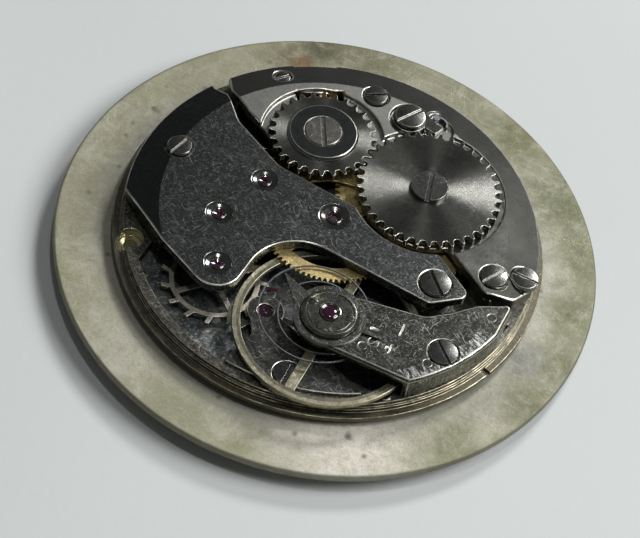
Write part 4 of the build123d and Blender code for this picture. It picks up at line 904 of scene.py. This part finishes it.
    def material(self) -> bpy.types.Material:
        """Lays the patina in its layers.

        Returns:
            The finished material.
        """
        board = Board(self.name)
        clouds = board.noise(board.place, 0.5, 9.0, 0.72, 0.7)
        colour = board.mix(board.span(clouds, 0.42, 0.62, 0.0, 0.85), self.colour, self.pale)
        surface = Surface(colour, 0.5, board.math("MULTIPLY", clouds, self.cloud_relief))
        for lay in (self.lay_moss, self.lay_verdigris, self.lay_stains_and_sheen, self.lay_wear):
            lay(board, surface)
        board.link(surface.colour, board.shader.inputs["Base Color"])
        board.link(surface.rough, board.shader.inputs["Roughness"])
        board.shader.inputs["Metallic"].default_value = self.metallic
        board.bump(surface.relief, self.bump_depth)
        return board.material


@dataclass(frozen=True)
class Paper:
    """Plain pale table under the movement."""

    name: str = "pale_table"
    colour: Colour = (0.60, 0.625, 0.62)
    shade: float = 0.95
    roughness: float = 0.7
    bump_depth: float = 0.01

    def material(self) -> bpy.types.Material:
        """Builds the table top as a material.

        Returns:
            The finished material.
        """
        board = Board(self.name)
        cloud = board.noise(board.place, 0.02, 2.0)
        deeper = tuple(self.shade * value for value in self.colour)
        board.link(board.mix(board.span(cloud, 0.4, 0.6), deeper, self.colour),
                   board.shader.inputs["Base Color"])
        board.shader.inputs["Roughness"].default_value = self.roughness
        board.bump(board.noise(board.place, 1.5, 3.0), self.bump_depth)
        return board.material


TRAIN_NICKEL = BridgeMetal("train_bridge_nickel", (0.135, 0.145, 0.142), (0.070, 0.075, 0.073),
                           0.17, 0.10, scratch_light=(0.42, 0.44, 0.42), scratch_keep=0.652,
                           scratch_share=0.75, scratch_length=0.40, scratch_width=0.045,
                           scratch_rough=0.08, speckle=0.38, grime_and_sheen=(0.03, 0.032, 0.03),
                           mottle_size=0.8, grime_and_sheen_share=0.30, bump_depth=0.0003,
                           bevel_painted_shade=(0.055, 0.058, 0.058), bevel_shade_share=0.88)
# the barrel bridge carries the painted shade patch over its right side
BARREL_NICKEL = BridgeMetal("barrel_bridge_nickel", (0.50, 0.50, 0.465), (0.34, 0.34, 0.32),
                            0.24, 0.05, scratch_keep=0.67, scratch_share=0.35,
                            scratch_length=0.42, scratch_width=0.04, scratch_rough=0.04,
                            speckle=0.15, mottle_size=1.4, grime_and_sheen_share=0.2, bump_depth=0.0002,
                            bevel_painted_shade=(0.110, 0.110, 0.100), bevel_shade_share=0.94,
                            painted_shade_share=0.9)
COCK_NICKEL = CockMetal("cock_nickel", (0.105, 0.107, 0.097), (0.045, 0.046, 0.041), 0.17, 0.10,
                        scratch_light=(0.55, 0.55, 0.50), scratch_keep=0.655,
                        scratch_share=0.75, scratch_length=0.5, scratch_width=0.045,
                        scratch_rough=0.08, speckle=0.35, mottle_size=0.8, grime_and_sheen_share=0.5,
                        bump_depth=0.0006)
PALLET_NICKEL = Metal("pallet_cock_nickel", (0.130, 0.135, 0.127), (0.06, 0.062, 0.058), 0.19,
                      0.12, scratch_light=(0.50, 0.50, 0.46), scratch_keep=0.66,
                      scratch_share=0.75, scratch_width=0.045, scratch_rough=0.08,
                      speckle=0.3, mottle_size=0.8, grime_and_sheen_share=0.4, bump_depth=0.0006)
PLATE = PlateMetal("plate_nickel", (0.135, 0.132, 0.115), (0.055, 0.055, 0.05), 0.22, 0.16,
                   scratch_light=(0.5, 0.48, 0.40), scratch_keep=0.65, scratch_share=0.6,
                   scratch_width=0.045, speckle=0.45, mottle_size=0.8, grime_and_sheen_share=0.7,
                   bump_depth=0.0008)
RIM_EDGE = Metal("worn_rim_edge", (0.55, 0.50, 0.34), (0.12, 0.11, 0.08), 0.26, 0.12,
                 scratch_share=0.0, mottle_size=0.5, grime_and_sheen_share=0.6, bump_depth=0.0005)
EDGE = Metal("bevelled_edge", (0.62, 0.61, 0.55), (0.26, 0.255, 0.22), 0.24, 0.10,
             scratch_share=0.0, mottle_size=0.9, bump_depth=0.0005)
STEEL = Metal("polished_steel", (0.235, 0.235, 0.225), (0.095, 0.095, 0.09), 0.13, 0.08,
              scratch_light=(0.5, 0.5, 0.48), scratch_share=0.3, scratch_keep=0.67,
              scratch_width=0.035, scratch_rough=0.05, mottle_size=0.8, speckle=0.2,
              grime_and_sheen_share=0.4, bump_depth=0.0003)
MIRROR = Metal("black_polished_steel", (0.22, 0.225, 0.22), (0.13, 0.135, 0.135), 0.09, 0.05,
               scratch_light=(0.5, 0.5, 0.48), scratch_share=0.2, scratch_keep=0.68,
               scratch_rough=0.04, mottle_size=0.6, bump_depth=0.0002)
CUP = Metal("jewel_cup_steel", (0.23, 0.23, 0.215), (0.12, 0.12, 0.11), 0.10, 0.03,
            scratch_share=0.0, bump_depth=0.0002)
# partly painted light: the crown screw's steel is lightened well above the other screws as painted
# highlight; its reddish-brown soiling is its own
CROWN_SCREW_PAINTED_LIGHT = Metal("crown_screw_steel_painted_light", (0.46, 0.45, 0.42), (0.24, 0.225, 0.20), 0.16, 0.06,
                    scratch_share=0.2, scratch_keep=0.67, grime_and_sheen=(0.14, 0.09, 0.06),
                    grime_and_sheen_share=0.5, mottle_size=0.5, bump_depth=0.0002)
REGULATOR = Metal("regulator_steel", (0.21, 0.215, 0.197), (0.08, 0.084, 0.076), 0.17, 0.10,
                  scratch_light=(0.6, 0.6, 0.55), scratch_keep=0.66, scratch_share=0.7,
                  scratch_width=0.045, speckle=0.3, mottle_size=0.5, grime_and_sheen_share=0.35,
                  bump_depth=0.0004)
# painted reflection: the cap setting's olive patches stand in for greenish reflections
SETTING = Metal("cap_setting_steel", (0.30, 0.31, 0.27), (0.07, 0.075, 0.065), 0.13, 0.08,
                scratch_light=(0.6, 0.6, 0.5), scratch_keep=0.67, scratch_share=0.6,
                scratch_width=0.045, scratch_rough=0.05, speckle=0.15, mottle_size=0.5,
                grime_and_sheen=(0.26, 0.25, 0.09), grime_and_sheen_share=0.7, bump_depth=0.0004)
BALANCE_EDGE = Metal("balance_edge", (0.46, 0.43, 0.31), (0.26, 0.25, 0.17), 0.24, 0.10,
                     scratch_share=0.0, mottle_size=0.6, bump_depth=0.0005)
BRASS = Metal("gilt_brass", (0.66, 0.52, 0.24), (0.36, 0.28, 0.13), 0.30, 0.16,
              scratch_light=(0.84, 0.72, 0.42), scratch_share=0.25, mottle_size=0.6,
              speckle=0.3, grime_and_sheen=(0.10, 0.08, 0.04), grime_and_sheen_share=0.5)
WARM_BRASS = Metal("warm_brass", (0.66, 0.33, 0.10), (0.34, 0.14, 0.04), 0.28, 0.14,
                   scratch_light=(0.84, 0.60, 0.30), scratch_share=0.2, mottle_size=0.5,
                   speckle=0.3, grime_and_sheen=(0.10, 0.06, 0.03), grime_and_sheen_share=0.4)
# partly painted light: the escape wheel's tan steel is lightened well above the other steel to
# offset the shade it sits in
ESCAPE_STEEL_PAINTED_LIGHT = Metal("escape_steel_painted_light", (0.46, 0.43, 0.35), (0.26, 0.24, 0.19), 0.40, 0.12,
              scratch_share=0.2, speckle=0.3, mottle_size=0.5)
SPRING = Metal("spring_steel", (0.40, 0.40, 0.41), (0.26, 0.26, 0.28), 0.22, 0.08,
               scratch_share=0.0)


@dataclass
class Edge:
    """How far a node's sharp edges are softened, in millimetres."""

    width: float = 0.02
    segments: int = 2
    angle: float = 30.0
    clamp: bool = True
    crease: float = 16.0
    level: float = 1.0
    merge: float = 1e-4

    def soften(self, piece: bpy.types.Object, polished: bool) -> None:
        """Adds the modifiers that turn the edges over.

        Args:
            piece: The object to soften.
            polished: Whether the turned edge takes the object's second material.
        """
        weld = piece.modifiers.new("weld", "WELD")
        weld.merge_threshold = self.merge * MM
        flat = piece.modifiers.new("flat", "DECIMATE")
        flat.decimate_type = "DISSOLVE"
        flat.angle_limit = math.radians(self.level)
        turned = piece.modifiers.new("turned", "BEVEL")
        turned.width = self.width * MM
        turned.segments = self.segments
        turned.limit_method = "ANGLE"
        turned.angle_limit = math.radians(self.angle)
        turned.use_clamp_overlap = self.clamp
        turned.loop_slide = False
        if polished:
            turned.material = 1
        crease = piece.modifiers.new("crease", "EDGE_SPLIT")
        crease.split_angle = math.radians(self.crease)
        crease.use_edge_sharp = False
        even = piece.modifiers.new("even", "WEIGHTED_NORMAL")
        even.keep_sharp = False


class Bench:
    """Holds the carried-over solids and the finishes, and makes turned and cut pieces."""

    slope: ClassVar[Point] = (0.25, 0.95)

    def __init__(self, nodes: dict[str, bpy.types.Object]) -> None:
        """Keeps the nodes and makes each finish once.

        Args:
            nodes: The carried-over objects by name.
        """
        self.nodes = nodes
        self.made: dict[str, bpy.types.Material] = {}

    def finish(self, kind: Finish) -> bpy.types.Material:
        """Returns a finish's material, building it the first time.

        Args:
            kind: The finish.

        Returns:
            Its material.
        """
        if kind.name not in self.made:
            self.made[kind.name] = kind.material()
        return self.made[kind.name]

    def middle(self, name: str) -> Point:
        """Middle in plan of a node, in millimetres."""
        low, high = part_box(name)
        return ((low[0] + high[0]) / 2 / MM, (low[1] + high[1]) / 2 / MM)

    def dress(self, names: Iterable[str], kind: Finish, edge: Optional[Edge] = None,
              rim: Optional[Finish] = None) -> None:
        """Dresses nodes in one finish.

        Args:
            names: Nodes to dress.
            kind: Finish of their faces.
            edge: Softening of their edges, if any.
            rim: Finish of the softened edges, if it differs.
        """
        for name in names:
            piece = self.nodes[name]
            piece.data.materials.clear()
            piece.data.materials.append(self.finish(kind))
            if rim is not None:
                piece.data.materials.append(self.finish(rim))
            if edge is not None:
                edge.soften(piece, rim is not None)
            LOG.info("dressed %s in %s", name, kind.name)

    def add(self, name: str, form: bmesh.types.BMesh, kind: Finish, body: Body,
            rim: Optional[Finish] = None) -> bpy.types.Object:
        """Turns a finished form into a piece that rides on a body.

        Args:
            name: Name of the piece.
            form: Its shape in metres.
            kind: Its finish.
            body: The body that carries it.
            rim: Finish of its sloping faces, if it differs.

        Returns:
            The new object.
        """
        bmesh.ops.recalc_face_normals(form, faces=form.faces)
        if rim is not None:
            for face in form.faces:
                face.material_index = int(self.slope[0] < face.normal.z < self.slope[1])
        mesh = bpy.data.meshes.new(name)
        form.to_mesh(mesh)
        form.free()
        mesh.shade_smooth()
        mesh.set_sharp_from_angle(angle=math.radians(SHARP_ANGLE))
        mesh.materials.append(self.finish(kind))
        if rim is not None:
            mesh.materials.append(self.finish(rim))
        piece = bpy.data.objects.new(name, mesh)
        bpy.context.scene.collection.objects.link(piece)
        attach(piece, body.value)
        LOG.info("made %s", name)
        return piece

    def turn(self, form: bmesh.types.BMesh, profile: Sequence[Point], at: Point,
             steps: int = 72) -> None:
        """Turns a closed profile round an upright axis.

        Args:
            form: Shape that receives the faces.
            profile: Radius and height of each corner in millimetres, in order round the section.
            at: Place of the axis.
            steps: Number of steps round the axis.
        """
        rows = []
        for radius, height in profile:
            row = []
            for step in range(steps):
                angle = math.tau * step / steps
                row.append(form.verts.new(((at[0] + radius * math.cos(angle)) * MM,
                                           (at[1] + radius * math.sin(angle)) * MM,
                                           height * MM)))
            rows.append(row)
        for index, row in enumerate(rows):
            other = rows[(index + 1) % len(rows)]
            for step in range(steps):
                after = (step + 1) % steps
                form.faces.new((row[step], row[after], other[after], other[step]))

    def cut(self, form: bmesh.types.BMesh, outline: Sequence[Point], low: float, high: float,
            shrink: float = 0.0) -> None:
        """Cuts a plate to an outline, its upper edge drawn in by a bevel.

        Args:
            form: Shape that receives the faces.
            outline: Corners in order, in millimetres.
            low: Lower level.
            high: Upper level.
            shrink: How far the bevel draws the upper edge in and down.
        """
        middle = (sum(x for x, _ in outline) / len(outline),
                  sum(y for _, y in outline) / len(outline))
        rows = []
        for inset, level in ((0.0, low), (0.0, high - shrink), (shrink, high)):
            row = []
            for x, y in outline:
                reach = math.dist((x, y), middle)
                share = 1.0 - inset / reach
                row.append(form.verts.new(((middle[0] + (x - middle[0]) * share) * MM,
                                           (middle[1] + (y - middle[1]) * share) * MM,
                                           level * MM)))
            rows.append(row)
        form.faces.new(rows[0])
        form.faces.new(rows[-1])
        for lower, upper in zip(rows, rows[1:]):
            for index, vertex in enumerate(lower):
                after = (index + 1) % len(lower)
                form.faces.new((vertex, lower[after], upper[after], upper[index]))


@dataclass
class Dial:
    """The large disc under the movement."""

    edge_width: float = 0.05
    edge_segments: int = 3

    def build(self, bench: Bench) -> None:
        """Dresses the dial in its patina."""
        bench.dress(("dial",), AgedSilver(), Edge(self.edge_width, self.edge_segments))


@dataclass
class Plates:
    """Main plate, bridges and cocks."""

    plate_edge: float = 0.03
    bridge_edge: float = 0.08
    cock_edge: float = 0.05

    def build(self, bench: Bench) -> None:
        """Dresses the plate and the bridges, each with bright edges.

        Args:
            bench: The bench that dresses and makes the pieces.
        """
        for name, kind, width, rim in (
                ("main_plate", PLATE, self.plate_edge, RIM_EDGE),
                ("train_bridge", TRAIN_NICKEL, self.bridge_edge, EDGE),
                ("barrel_bridge", BARREL_NICKEL, self.bridge_edge, EDGE),
                ("balance_cock", COCK_NICKEL, self.cock_edge, EDGE),
                ("pallet_cock", PALLET_NICKEL, self.cock_edge, EDGE)):
            bench.dress((name,), kind, Edge(width, clamp=False), rim)


@dataclass
class JewelCup:
    """Dished steel cup with its stone, set in the sink round one pivot hole."""

    rim: float
    stone: float
    hole: float
    top: float
    seat: float
    wall: float = 0.035
    fall: float = 0.325
    lip_width: float = 0.07
    round: float = 0.02
    gap: float = 0.03

    def build(self, bench: Bench, name: str, at: Point) -> None:
        """Turns the cup and the stone.

        Args:
            bench: The bench that makes them.
            name: Name of the place.
            at: Axis of the hole.
        """
        depth = self.top - self.seat
        lip = self.stone + self.lip_width
        foot = lip + self.round + (depth - self.wall - 0.007) / self.fall
        cup = bmesh.new()
        bench.turn(cup, (
            (self.rim, self.top - 0.01), (self.rim - self.round, self.top + 0.012),
            (self.rim - 0.05, self.top + 0.004), (foot + self.gap, self.top + 0.003),
            (foot, self.top - self.wall), (lip + self.round, self.seat + 0.007),
            (lip, self.seat + 0.5 * depth), (lip - self.gap, self.seat + 0.62 * depth),
            (self.stone, self.seat + 0.5 * depth), (self.stone, self.seat + 0.005),
            (self.stone + 0.06, self.seat + 0.004)), at)
        bench.add(f"{name}_cup", cup, CUP, Body.MOVEMENT)
        reach = self.stone - self.gap - self.hole
        crown = self.seat + self.round + self.fall * reach
        stone = bmesh.new()
        bench.turn(stone, (
            (self.stone - 0.005, self.seat + 0.01), (self.stone - 0.005, crown - self.round),
            (self.stone - self.gap, crown), (self.hole, crown - self.fall * reach),
            (self.hole, self.seat + 0.01)), at)
        bench.add(f"{name}_stone", stone, Ruby(), Body.MOVEMENT)


@dataclass
class Jewels:
    """Stones of the train, and the cups that hold the upper ones."""

    bridge_top: float = 2.6
    stone_top: float = 2.48
    train_rim: float = 0.76
    train_stone: float = 0.29
    train_hole: float = 0.12
    centre_rim: float = 0.88
    centre_stone: float = 0.36
    centre_hole: float = 0.23
    edge_width: float = 0.02

    def build(self, bench: Bench) -> None:
        """Dresses the stones and sets a cup round each upper pivot.

        Args:
            bench: The bench that dresses and makes the pieces.
        """
        bench.dress(("train_bridge_jewels", "plate_jewels", "pallet_cock_jewel",
                     "cock_hole_jewel", "impulse_pin", "pallet_stones"), Ruby(),
                    Edge(self.edge_width))
        for name in ("third", "fourth", "escape"):
            cup = JewelCup(self.train_rim, self.train_stone, self.train_hole, self.bridge_top,
                           self.stone_top)
            cup.build(bench, f"{name}_jewel", bench.middle(f"{name}_pinion"))
        cup = JewelCup(self.centre_rim, self.centre_stone, self.centre_hole, self.bridge_top,
                       self.stone_top)
        cup.build(bench, "centre_jewel", bench.middle("centre_pinion"))


@dataclass
class CockHead:
    """Cap jewel in its setting, with the regulator round it."""

    cap_radius: float = 0.60
    stone_radius: float = 0.40
    cap_top: float = 2.98
    dome: float = 0.09
    dome_steps: int = 6
    tip: float = 0.0004
    low: float = 2.6
    thickness: float = 0.12
    ring_inner: float = 1.57
    ring_outer: float = 1.95
    tail_bearing: float = 128.0
    tail_reach: float = 3.52
    tail_sides: Point = (124.0, 168.0)
    tail_half: float = 0.03
    pointer_bearing: float = -30.0
    pointer_reach: float = 3.0
    pointer_half: float = 0.17
    point_length: float = 0.06
    point_half: float = 0.05
    pin_low: float = 2.04
    pin_bore: float = 0.01
    pin_radius: float = 0.07
    pin_spread: float = 0.12
    pin_inset: float = 0.4
    pin_steps: int = 20
    bevel: float = 0.06
    inner_bevel: float = 0.04
    lift: float = 0.01
    sink: float = 0.006
    setting_edge: float = 0.05
    edge_width: float = 0.02

    def build(self, bench: Bench) -> None:
        """Dresses the setting and makes the cap's ring, its stone and the regulator.

        Args:
            bench: The bench that dresses and makes the pieces.
        """
        at = bench.middle("cap_setting")
        bench.dress(("cap_setting",), SETTING, Edge(self.setting_edge), EDGE)
        bench.dress(("cock_cap_jewel",), Ruby(), Edge(self.edge_width))
        bench.dress(("regulator",), MIRROR, Edge(self.edge_width), EDGE)
        self.build_cap(bench, at)
        self.build_regulator(bench, at)

    def build_cap(self, bench: Bench, at: Point) -> None:
        """Sets the domed stone in a polished ring.

        Args:
            bench: The bench that makes the pieces.
            at: Axis of the balance.
        """
        ring = bmesh.new()
        level = self.cap_top
        bench.turn(ring, ((self.cap_radius, level - 0.02), (self.cap_radius - 0.02, level + 0.035),
                          (self.cap_radius - 0.07, level + 0.045),
                          (self.stone_radius + 0.05, level + 0.012),
                          (self.stone_radius + 0.02, level + 0.03),
                          (self.stone_radius, level + 0.02), (self.stone_radius, level - 0.02)), at)
        bench.add("cap_jewel_ring", ring, CUP, Body.MOVEMENT)
        stone = bmesh.new()
        profile = [(self.tip, level - 0.02)]
        for step in range(self.dome_steps + 1):
            share = step / self.dome_steps
            profile.append((self.stone_radius * 0.99 * math.cos(share * math.pi / 2) + self.tip,
                            level + self.dome * math.sin(share * math.pi / 2)))
        bench.turn(stone, profile, at)
        bench.add("cap_jewel_stone", stone, Ruby(), Body.MOVEMENT)

    def build_regulator(self, bench: Bench, at: Point) -> None:
        """Makes the regulator with its pointed tail, slim pointer and two curb pins.

        Args:
            bench: The bench that makes the piece.
            at: Axis of the balance.
        """
        low = self.low + self.lift
        high = self.low + self.thickness
        form = bmesh.new()
        bench.turn(form, ((self.ring_inner, low), (self.ring_outer, low),
                          (self.ring_outer, high - self.bevel),
                          (self.ring_outer - self.bevel, high),
                          (self.ring_inner + self.inner_bevel, high),
                          (self.ring_inner, high - self.inner_bevel)), at)
        inside = (self.ring_inner + self.ring_outer) / 2
        sides = [self.spot(at, bearing, inside, 0.0) for bearing in self.tail_sides]
        tip = [self.spot(at, self.tail_bearing, self.tail_reach, aside)
               for aside in (-self.tail_half, self.tail_half)]
        bench.cut(form, (sides[0], *tip, sides[1]), low, high - self.sink, self.bevel)
        shoulder = self.pointer_reach - self.point_length
        pointer = [self.spot(at, self.pointer_bearing, along, aside) for along, aside in
                   ((inside, -self.pointer_half), (shoulder, -self.point_half),
                    (self.pointer_reach, 0.0), (shoulder, self.point_half),
                    (inside, self.pointer_half))]
        bench.cut(form, pointer, low, high - self.sink, self.bevel)
        reach = self.curb_reach(math.dist(at, bench.middle("hairspring_stud")))
        root = self.low + 2.0 * self.lift
        for sign in (-1.0, 1.0):
            pin = self.spot(at, self.tail_bearing, reach + sign * self.pin_spread, 0.0)
            bench.turn(form, ((self.pin_bore, self.pin_low), (self.pin_radius, self.pin_low),
                              (self.pin_radius, root), (self.pin_bore, root)), pin,
                       self.pin_steps)
        piece = bench.add("regulator_hand", form, REGULATOR, Body.REGULATOR, EDGE)
        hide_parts("regulator")

    def curb_reach(self, stud_place: float) -> float:
        """Distance of the curb pins from the axis, inside the tail's end."""
        return min(self.tail_reach - self.pin_inset, stud_place)

    def spot(self, at: Point, bearing: float, along: float, aside: float) -> Point:
        """Point at a distance along a bearing and a distance to its left.

        Args:
            at: Starting point.
            bearing: Direction in degrees.
            along: Distance along it.
            aside: Distance to its left.

        Returns:
            The point in plan.
        """
        angle = math.radians(bearing)
        return (at[0] + along * math.cos(angle) - aside * math.sin(angle),
                at[1] + along * math.sin(angle) + aside * math.cos(angle))


@dataclass
class Balance:
    """Balance wheel with its staff, roller and hairspring."""

    rim_colour: Colour = (0.50, 0.47, 0.345)
    rim_shade: Colour = (0.26, 0.245, 0.165)
    edge_width: float = 0.04
    staff_edge: float = 0.02
    collet_edge: float = 0.012

    def build(self, bench: Bench) -> None:
        """Dresses the balance and what turns with it.

        Args:
            bench: The bench that dresses and makes the pieces.
        """
        metal = RimMetal("balance_rim", self.rim_colour, self.rim_shade, 0.24, 0.12,
                         scratch_light=(0.74, 0.70, 0.56), scratch_share=0.3, mottle_size=0.5,
                         speckle=0.25, grime_and_sheen_share=0.25, centre=bench.middle("balance_staff"))
        bench.dress(("balance_wheel",), metal, Edge(self.edge_width), BALANCE_EDGE)
        bench.dress(("balance_staff", "roller", "hairspring_stud"), STEEL, Edge(self.staff_edge),
                    EDGE)
        bench.dress(("hairspring_collet",), BRASS, Edge(self.collet_edge))
        bench.dress(("hairspring",), SPRING)


@dataclass
class Escapement:
    """Escape wheel, pallets and their arbors."""

    edge_width: float = 0.015

    def build(self, bench: Bench) -> None:
        """Dresses the pieces of the escapement.

        Args:
            bench: The bench that dresses and makes the pieces.
        """
        bench.dress(("escape_wheel",), ESCAPE_STEEL_PAINTED_LIGHT, Edge(self.edge_width), EDGE)
        bench.dress(("pallet_fork", "pallet_arbor", "escape_pinion"), STEEL,
                    Edge(self.edge_width), EDGE)


@dataclass
class GoingTrain:
    """Centre, third and fourth wheels with their pinions, and the barrel."""

    edge_width: float = 0.012

    def build(self, bench: Bench) -> None:
        """Dresses gilt wheels, steel pinions and the barrel.

        Args:
            bench: The bench that dresses and makes the pieces.
        """
        bench.dress(("centre_wheel", "third_wheel", "fourth_wheel", "barrel_drum",
                     "barrel_cover"), BRASS, Edge(self.edge_width))
        bench.dress(("centre_pinion", "third_pinion", "fourth_pinion", "barrel_arbor"), STEEL,
                    Edge(self.edge_width), EDGE)
        bench.dress(("mainspring",), SPRING)


@dataclass
class WindingWork:
    """Ratchet wheel, crown wheel and click on top of the barrel bridge."""

    wheel_colour: Colour = (0.26, 0.26, 0.235)
    wheel_shade: Colour = (0.145, 0.145, 0.13)
    roughness: float = 0.165
    anisotropy: float = 0.9
    wheel_edge: float = 0.03
    core_edge: float = 0.04
    crown_screw_edge: float = 0.05
    edge_width: float = 0.025
    spring_edge: float = 0.01

    def build(self, bench: Bench) -> None:
        """Gives the two wheels their circular grain, the winding pinion warm brass and the rest
        steel.

        Args:
            bench: The bench that dresses and makes the pieces.
        """
        for name, middle in (("ratchet_wheel", "ratchet_screw"), ("crown_wheel", "crown_screw")):
            grain = Metal(f"grained_{name}", self.wheel_colour, self.wheel_shade, self.roughness,
                          0.05, scratch_share=0.12, scratch_keep=0.67, scratch_rough=0.02,
                          speckle=0.16, grime_and_sheen_share=0.34, anisotropy=self.anisotropy,
                          centre=bench.middle(middle), tone=Tone.CIRCULAR,
                          bump_depth=0.0002)
            bench.dress((name,), grain, Edge(self.wheel_edge), EDGE)
        bench.dress(("crown_core",), MIRROR, Edge(self.core_edge), EDGE)
        bench.dress(("ratchet_screw", "click", "click_screw"), STEEL, Edge(self.edge_width), EDGE)
        bench.dress(("crown_screw",), CROWN_SCREW_PAINTED_LIGHT, Edge(self.crown_screw_edge), EDGE)
        bench.dress(("winding_pinion",), WARM_BRASS, Edge(self.edge_width))
        bench.dress(("click_spring",), SPRING, Edge(self.spring_edge))


@dataclass
class KeylessWork:
    """Clutch and levers that set the hands."""

    edge_width: float = 0.02
    spring_edge: float = 0.01

    def build(self, bench: Bench) -> None:
        """Dresses the keyless work in polished steel.

        Args:
            bench: The bench that dresses and makes the pieces.
        """
        bench.dress(("sliding_clutch", "setting_lever", "clutch_lever", "setting_wheel"), STEEL,
                    Edge(self.edge_width), EDGE)
        bench.dress(("clutch_lever_spring",), SPRING, Edge(self.spring_edge))


@dataclass
class MotionWork:
    """Wheels that carry the hands."""

    edge_width: float = 0.015

    def build(self, bench: Bench) -> None:
        """Dresses the motion work.

        Args:
            bench: The bench that dresses and makes the pieces.
        """
        bench.dress(("cannon_pinion", "minute_wheel"), STEEL, Edge(self.edge_width), EDGE)
        bench.dress(("hour_wheel",), BRASS, Edge(self.edge_width))


@dataclass
class Screws:
    """Slotted screws and plain pins."""

    edge_width: float = 0.03

    def build(self, bench: Bench) -> None:
        """Dresses the screws and pins in polished steel with bright edges.

        Args:
            bench: The bench that dresses and makes the pieces.
        """
        bench.dress(("bridge_screws", "case_screw", "cap_screws", "pallet_cock_screw",
                     "setting_lever_screw", "stud_screw", "dial_foot_screws", "steady_pins"),
                    STEEL, Edge(self.edge_width), EDGE)


@dataclass
class Studio:
    """Table, lamps and the camera at the photograph's viewing angle."""

    focal_pixels: float = 2700.0
    image_width: float = 640.0
    sensor_width: float = 36.0
    elevation: float = 52.15
    roll: float = 12.795
    distance: float = 146.8
    aim: Point = (-0.127, -1.70)
    turn: float = -15.0
    table_level: float = -1.4
    table_half: float = 900.0
    lamp_distance: float = 420.0
    key_direction: tuple[float, float, float] = (0.70, 0.08, 0.71)
    key_size: float = 260.0
    key_power: float = 1.50
    back_direction: tuple[float, float, float] = (0.33, 0.68, 0.655)
    back_size: float = 95.0
    back_power: float = 0.75
    overhead_direction: tuple[float, float, float] = (0.04, 0.0, 1.0)
    overhead_size: float = 26.0
    overhead_power: float = 0.20
    sky: float = 0.10
    sky_colour: Colour = (0.97, 1.0, 1.0)
    clip: Point = (0.005, 10.0)
    table_cells: int = 8

    def build(self, bench: Bench) -> None:
        """Makes the camera, the table and the lamps.

        Args:
            bench: The bench that dresses and makes the pieces.
        """
        self.build_camera()
        self.build_table(bench)
        self.build_lamp("key", self.key_direction, self.key_size, self.key_power)
        self.build_lamp("back", self.back_direction, self.back_size, self.back_power)
        self.build_lamp("overhead", self.overhead_direction, self.overhead_size,
                        self.overhead_power)
        self.build_room()

    def build_room(self) -> None:
        """Fills the room with weak even light and shows colours as they are."""
        world = bpy.data.worlds.new("room")
        world.use_nodes = True
        back = world.node_tree.nodes["Background"]
        back.inputs["Color"].default_value = (*self.sky_colour, 1.0)
        back.inputs["Strength"].default_value = self.sky
        scene = bpy.context.scene
        scene.world = world
        scene.view_settings.view_transform = "Standard"

    def build_camera(self) -> None:
        """Stands the camera where the photograph was taken from."""
        tilt = math.radians(self.elevation)
        lean = math.radians(self.roll)
        forward = Vector((0.0, math.cos(tilt), -math.sin(tilt)))
        right = Vector((1.0, 0.0, 0.0))
        upward = right.cross(forward)
        across = math.cos(lean) * right + math.sin(lean) * upward
        upright = -math.sin(lean) * right + math.cos(lean) * upward
        eye = Vector((self.aim[0], self.aim[1], 0.0)) - forward * self.distance
        spin = Matrix.Rotation(math.radians(self.turn), 4, "Z")
        stand = Matrix.Identity(4)
        for column, axis in enumerate((across, upright, -forward, eye * MM)):
            for row in range(3):
                stand[row][column] = axis[row]
        data = bpy.data.cameras.new("camera")
        data.sensor_width = self.sensor_width
        data.lens = self.focal_pixels / self.image_width * self.sensor_width
        data.clip_start, data.clip_end = self.clip
        camera = bpy.data.objects.new("camera", data)
        camera.matrix_world = spin @ stand
        bpy.context.scene.collection.objects.link(camera)
        bpy.context.scene.camera = camera

    def build_table(self, bench: Bench) -> None:
        """Lays the pale table under the dial.

        Args:
            bench: The bench that dresses and makes the pieces.
        """
        mesh = bpy.data.meshes.new("table")
        form = bmesh.new()
        bmesh.ops.create_grid(form, x_segments=self.table_cells, y_segments=self.table_cells,
                              size=self.table_half * MM)
        form.to_mesh(mesh)
        form.free()
        mesh.materials.append(bench.finish(Paper()))
        table = bpy.data.objects.new("table", mesh)
        table.location = (0.0, 0.0, self.table_level * MM)
        bpy.context.scene.collection.objects.link(table)

    def build_lamp(self, name: str, direction: Sequence[float], size: float,
                   power: float) -> None:
        """Hangs one soft round lamp.

        Args:
            name: Name of the lamp.
            direction: Where it hangs, as seen from the camera's side.
            size: Its width in millimetres.
            power: Its power in watts.
        """
        data = bpy.data.lights.new(name, "AREA")
        data.shape = "DISK"
        data.size = size * MM
        data.energy = power
        lamp = bpy.data.objects.new(name, data)
        spin = Matrix.Rotation(math.radians(self.turn), 3, "Z")
        towards = (spin @ Vector(direction)).normalized()
        lamp.location = towards * self.lamp_distance * MM
        lamp.rotation_euler = towards.to_track_quat("Z", "Y").to_euler()
        bpy.context.scene.collection.objects.link(lamp)


def main() -> None:
    """Builds the scene in order."""
    logging.basicConfig(level=logging.INFO, format="%(message)s")
    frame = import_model()
    bench = Bench(frame["nodes"])
    for part in (Studio(), Dial(), Plates(), Screws(), Jewels(), CockHead(), Balance(),
                 Escapement(), GoingTrain(), WindingWork(), KeylessWork(), MotionWork()):
        part.build(bench)
        LOG.info("built %s", type(part).__name__)


if __name__ == "__main__":
    main()
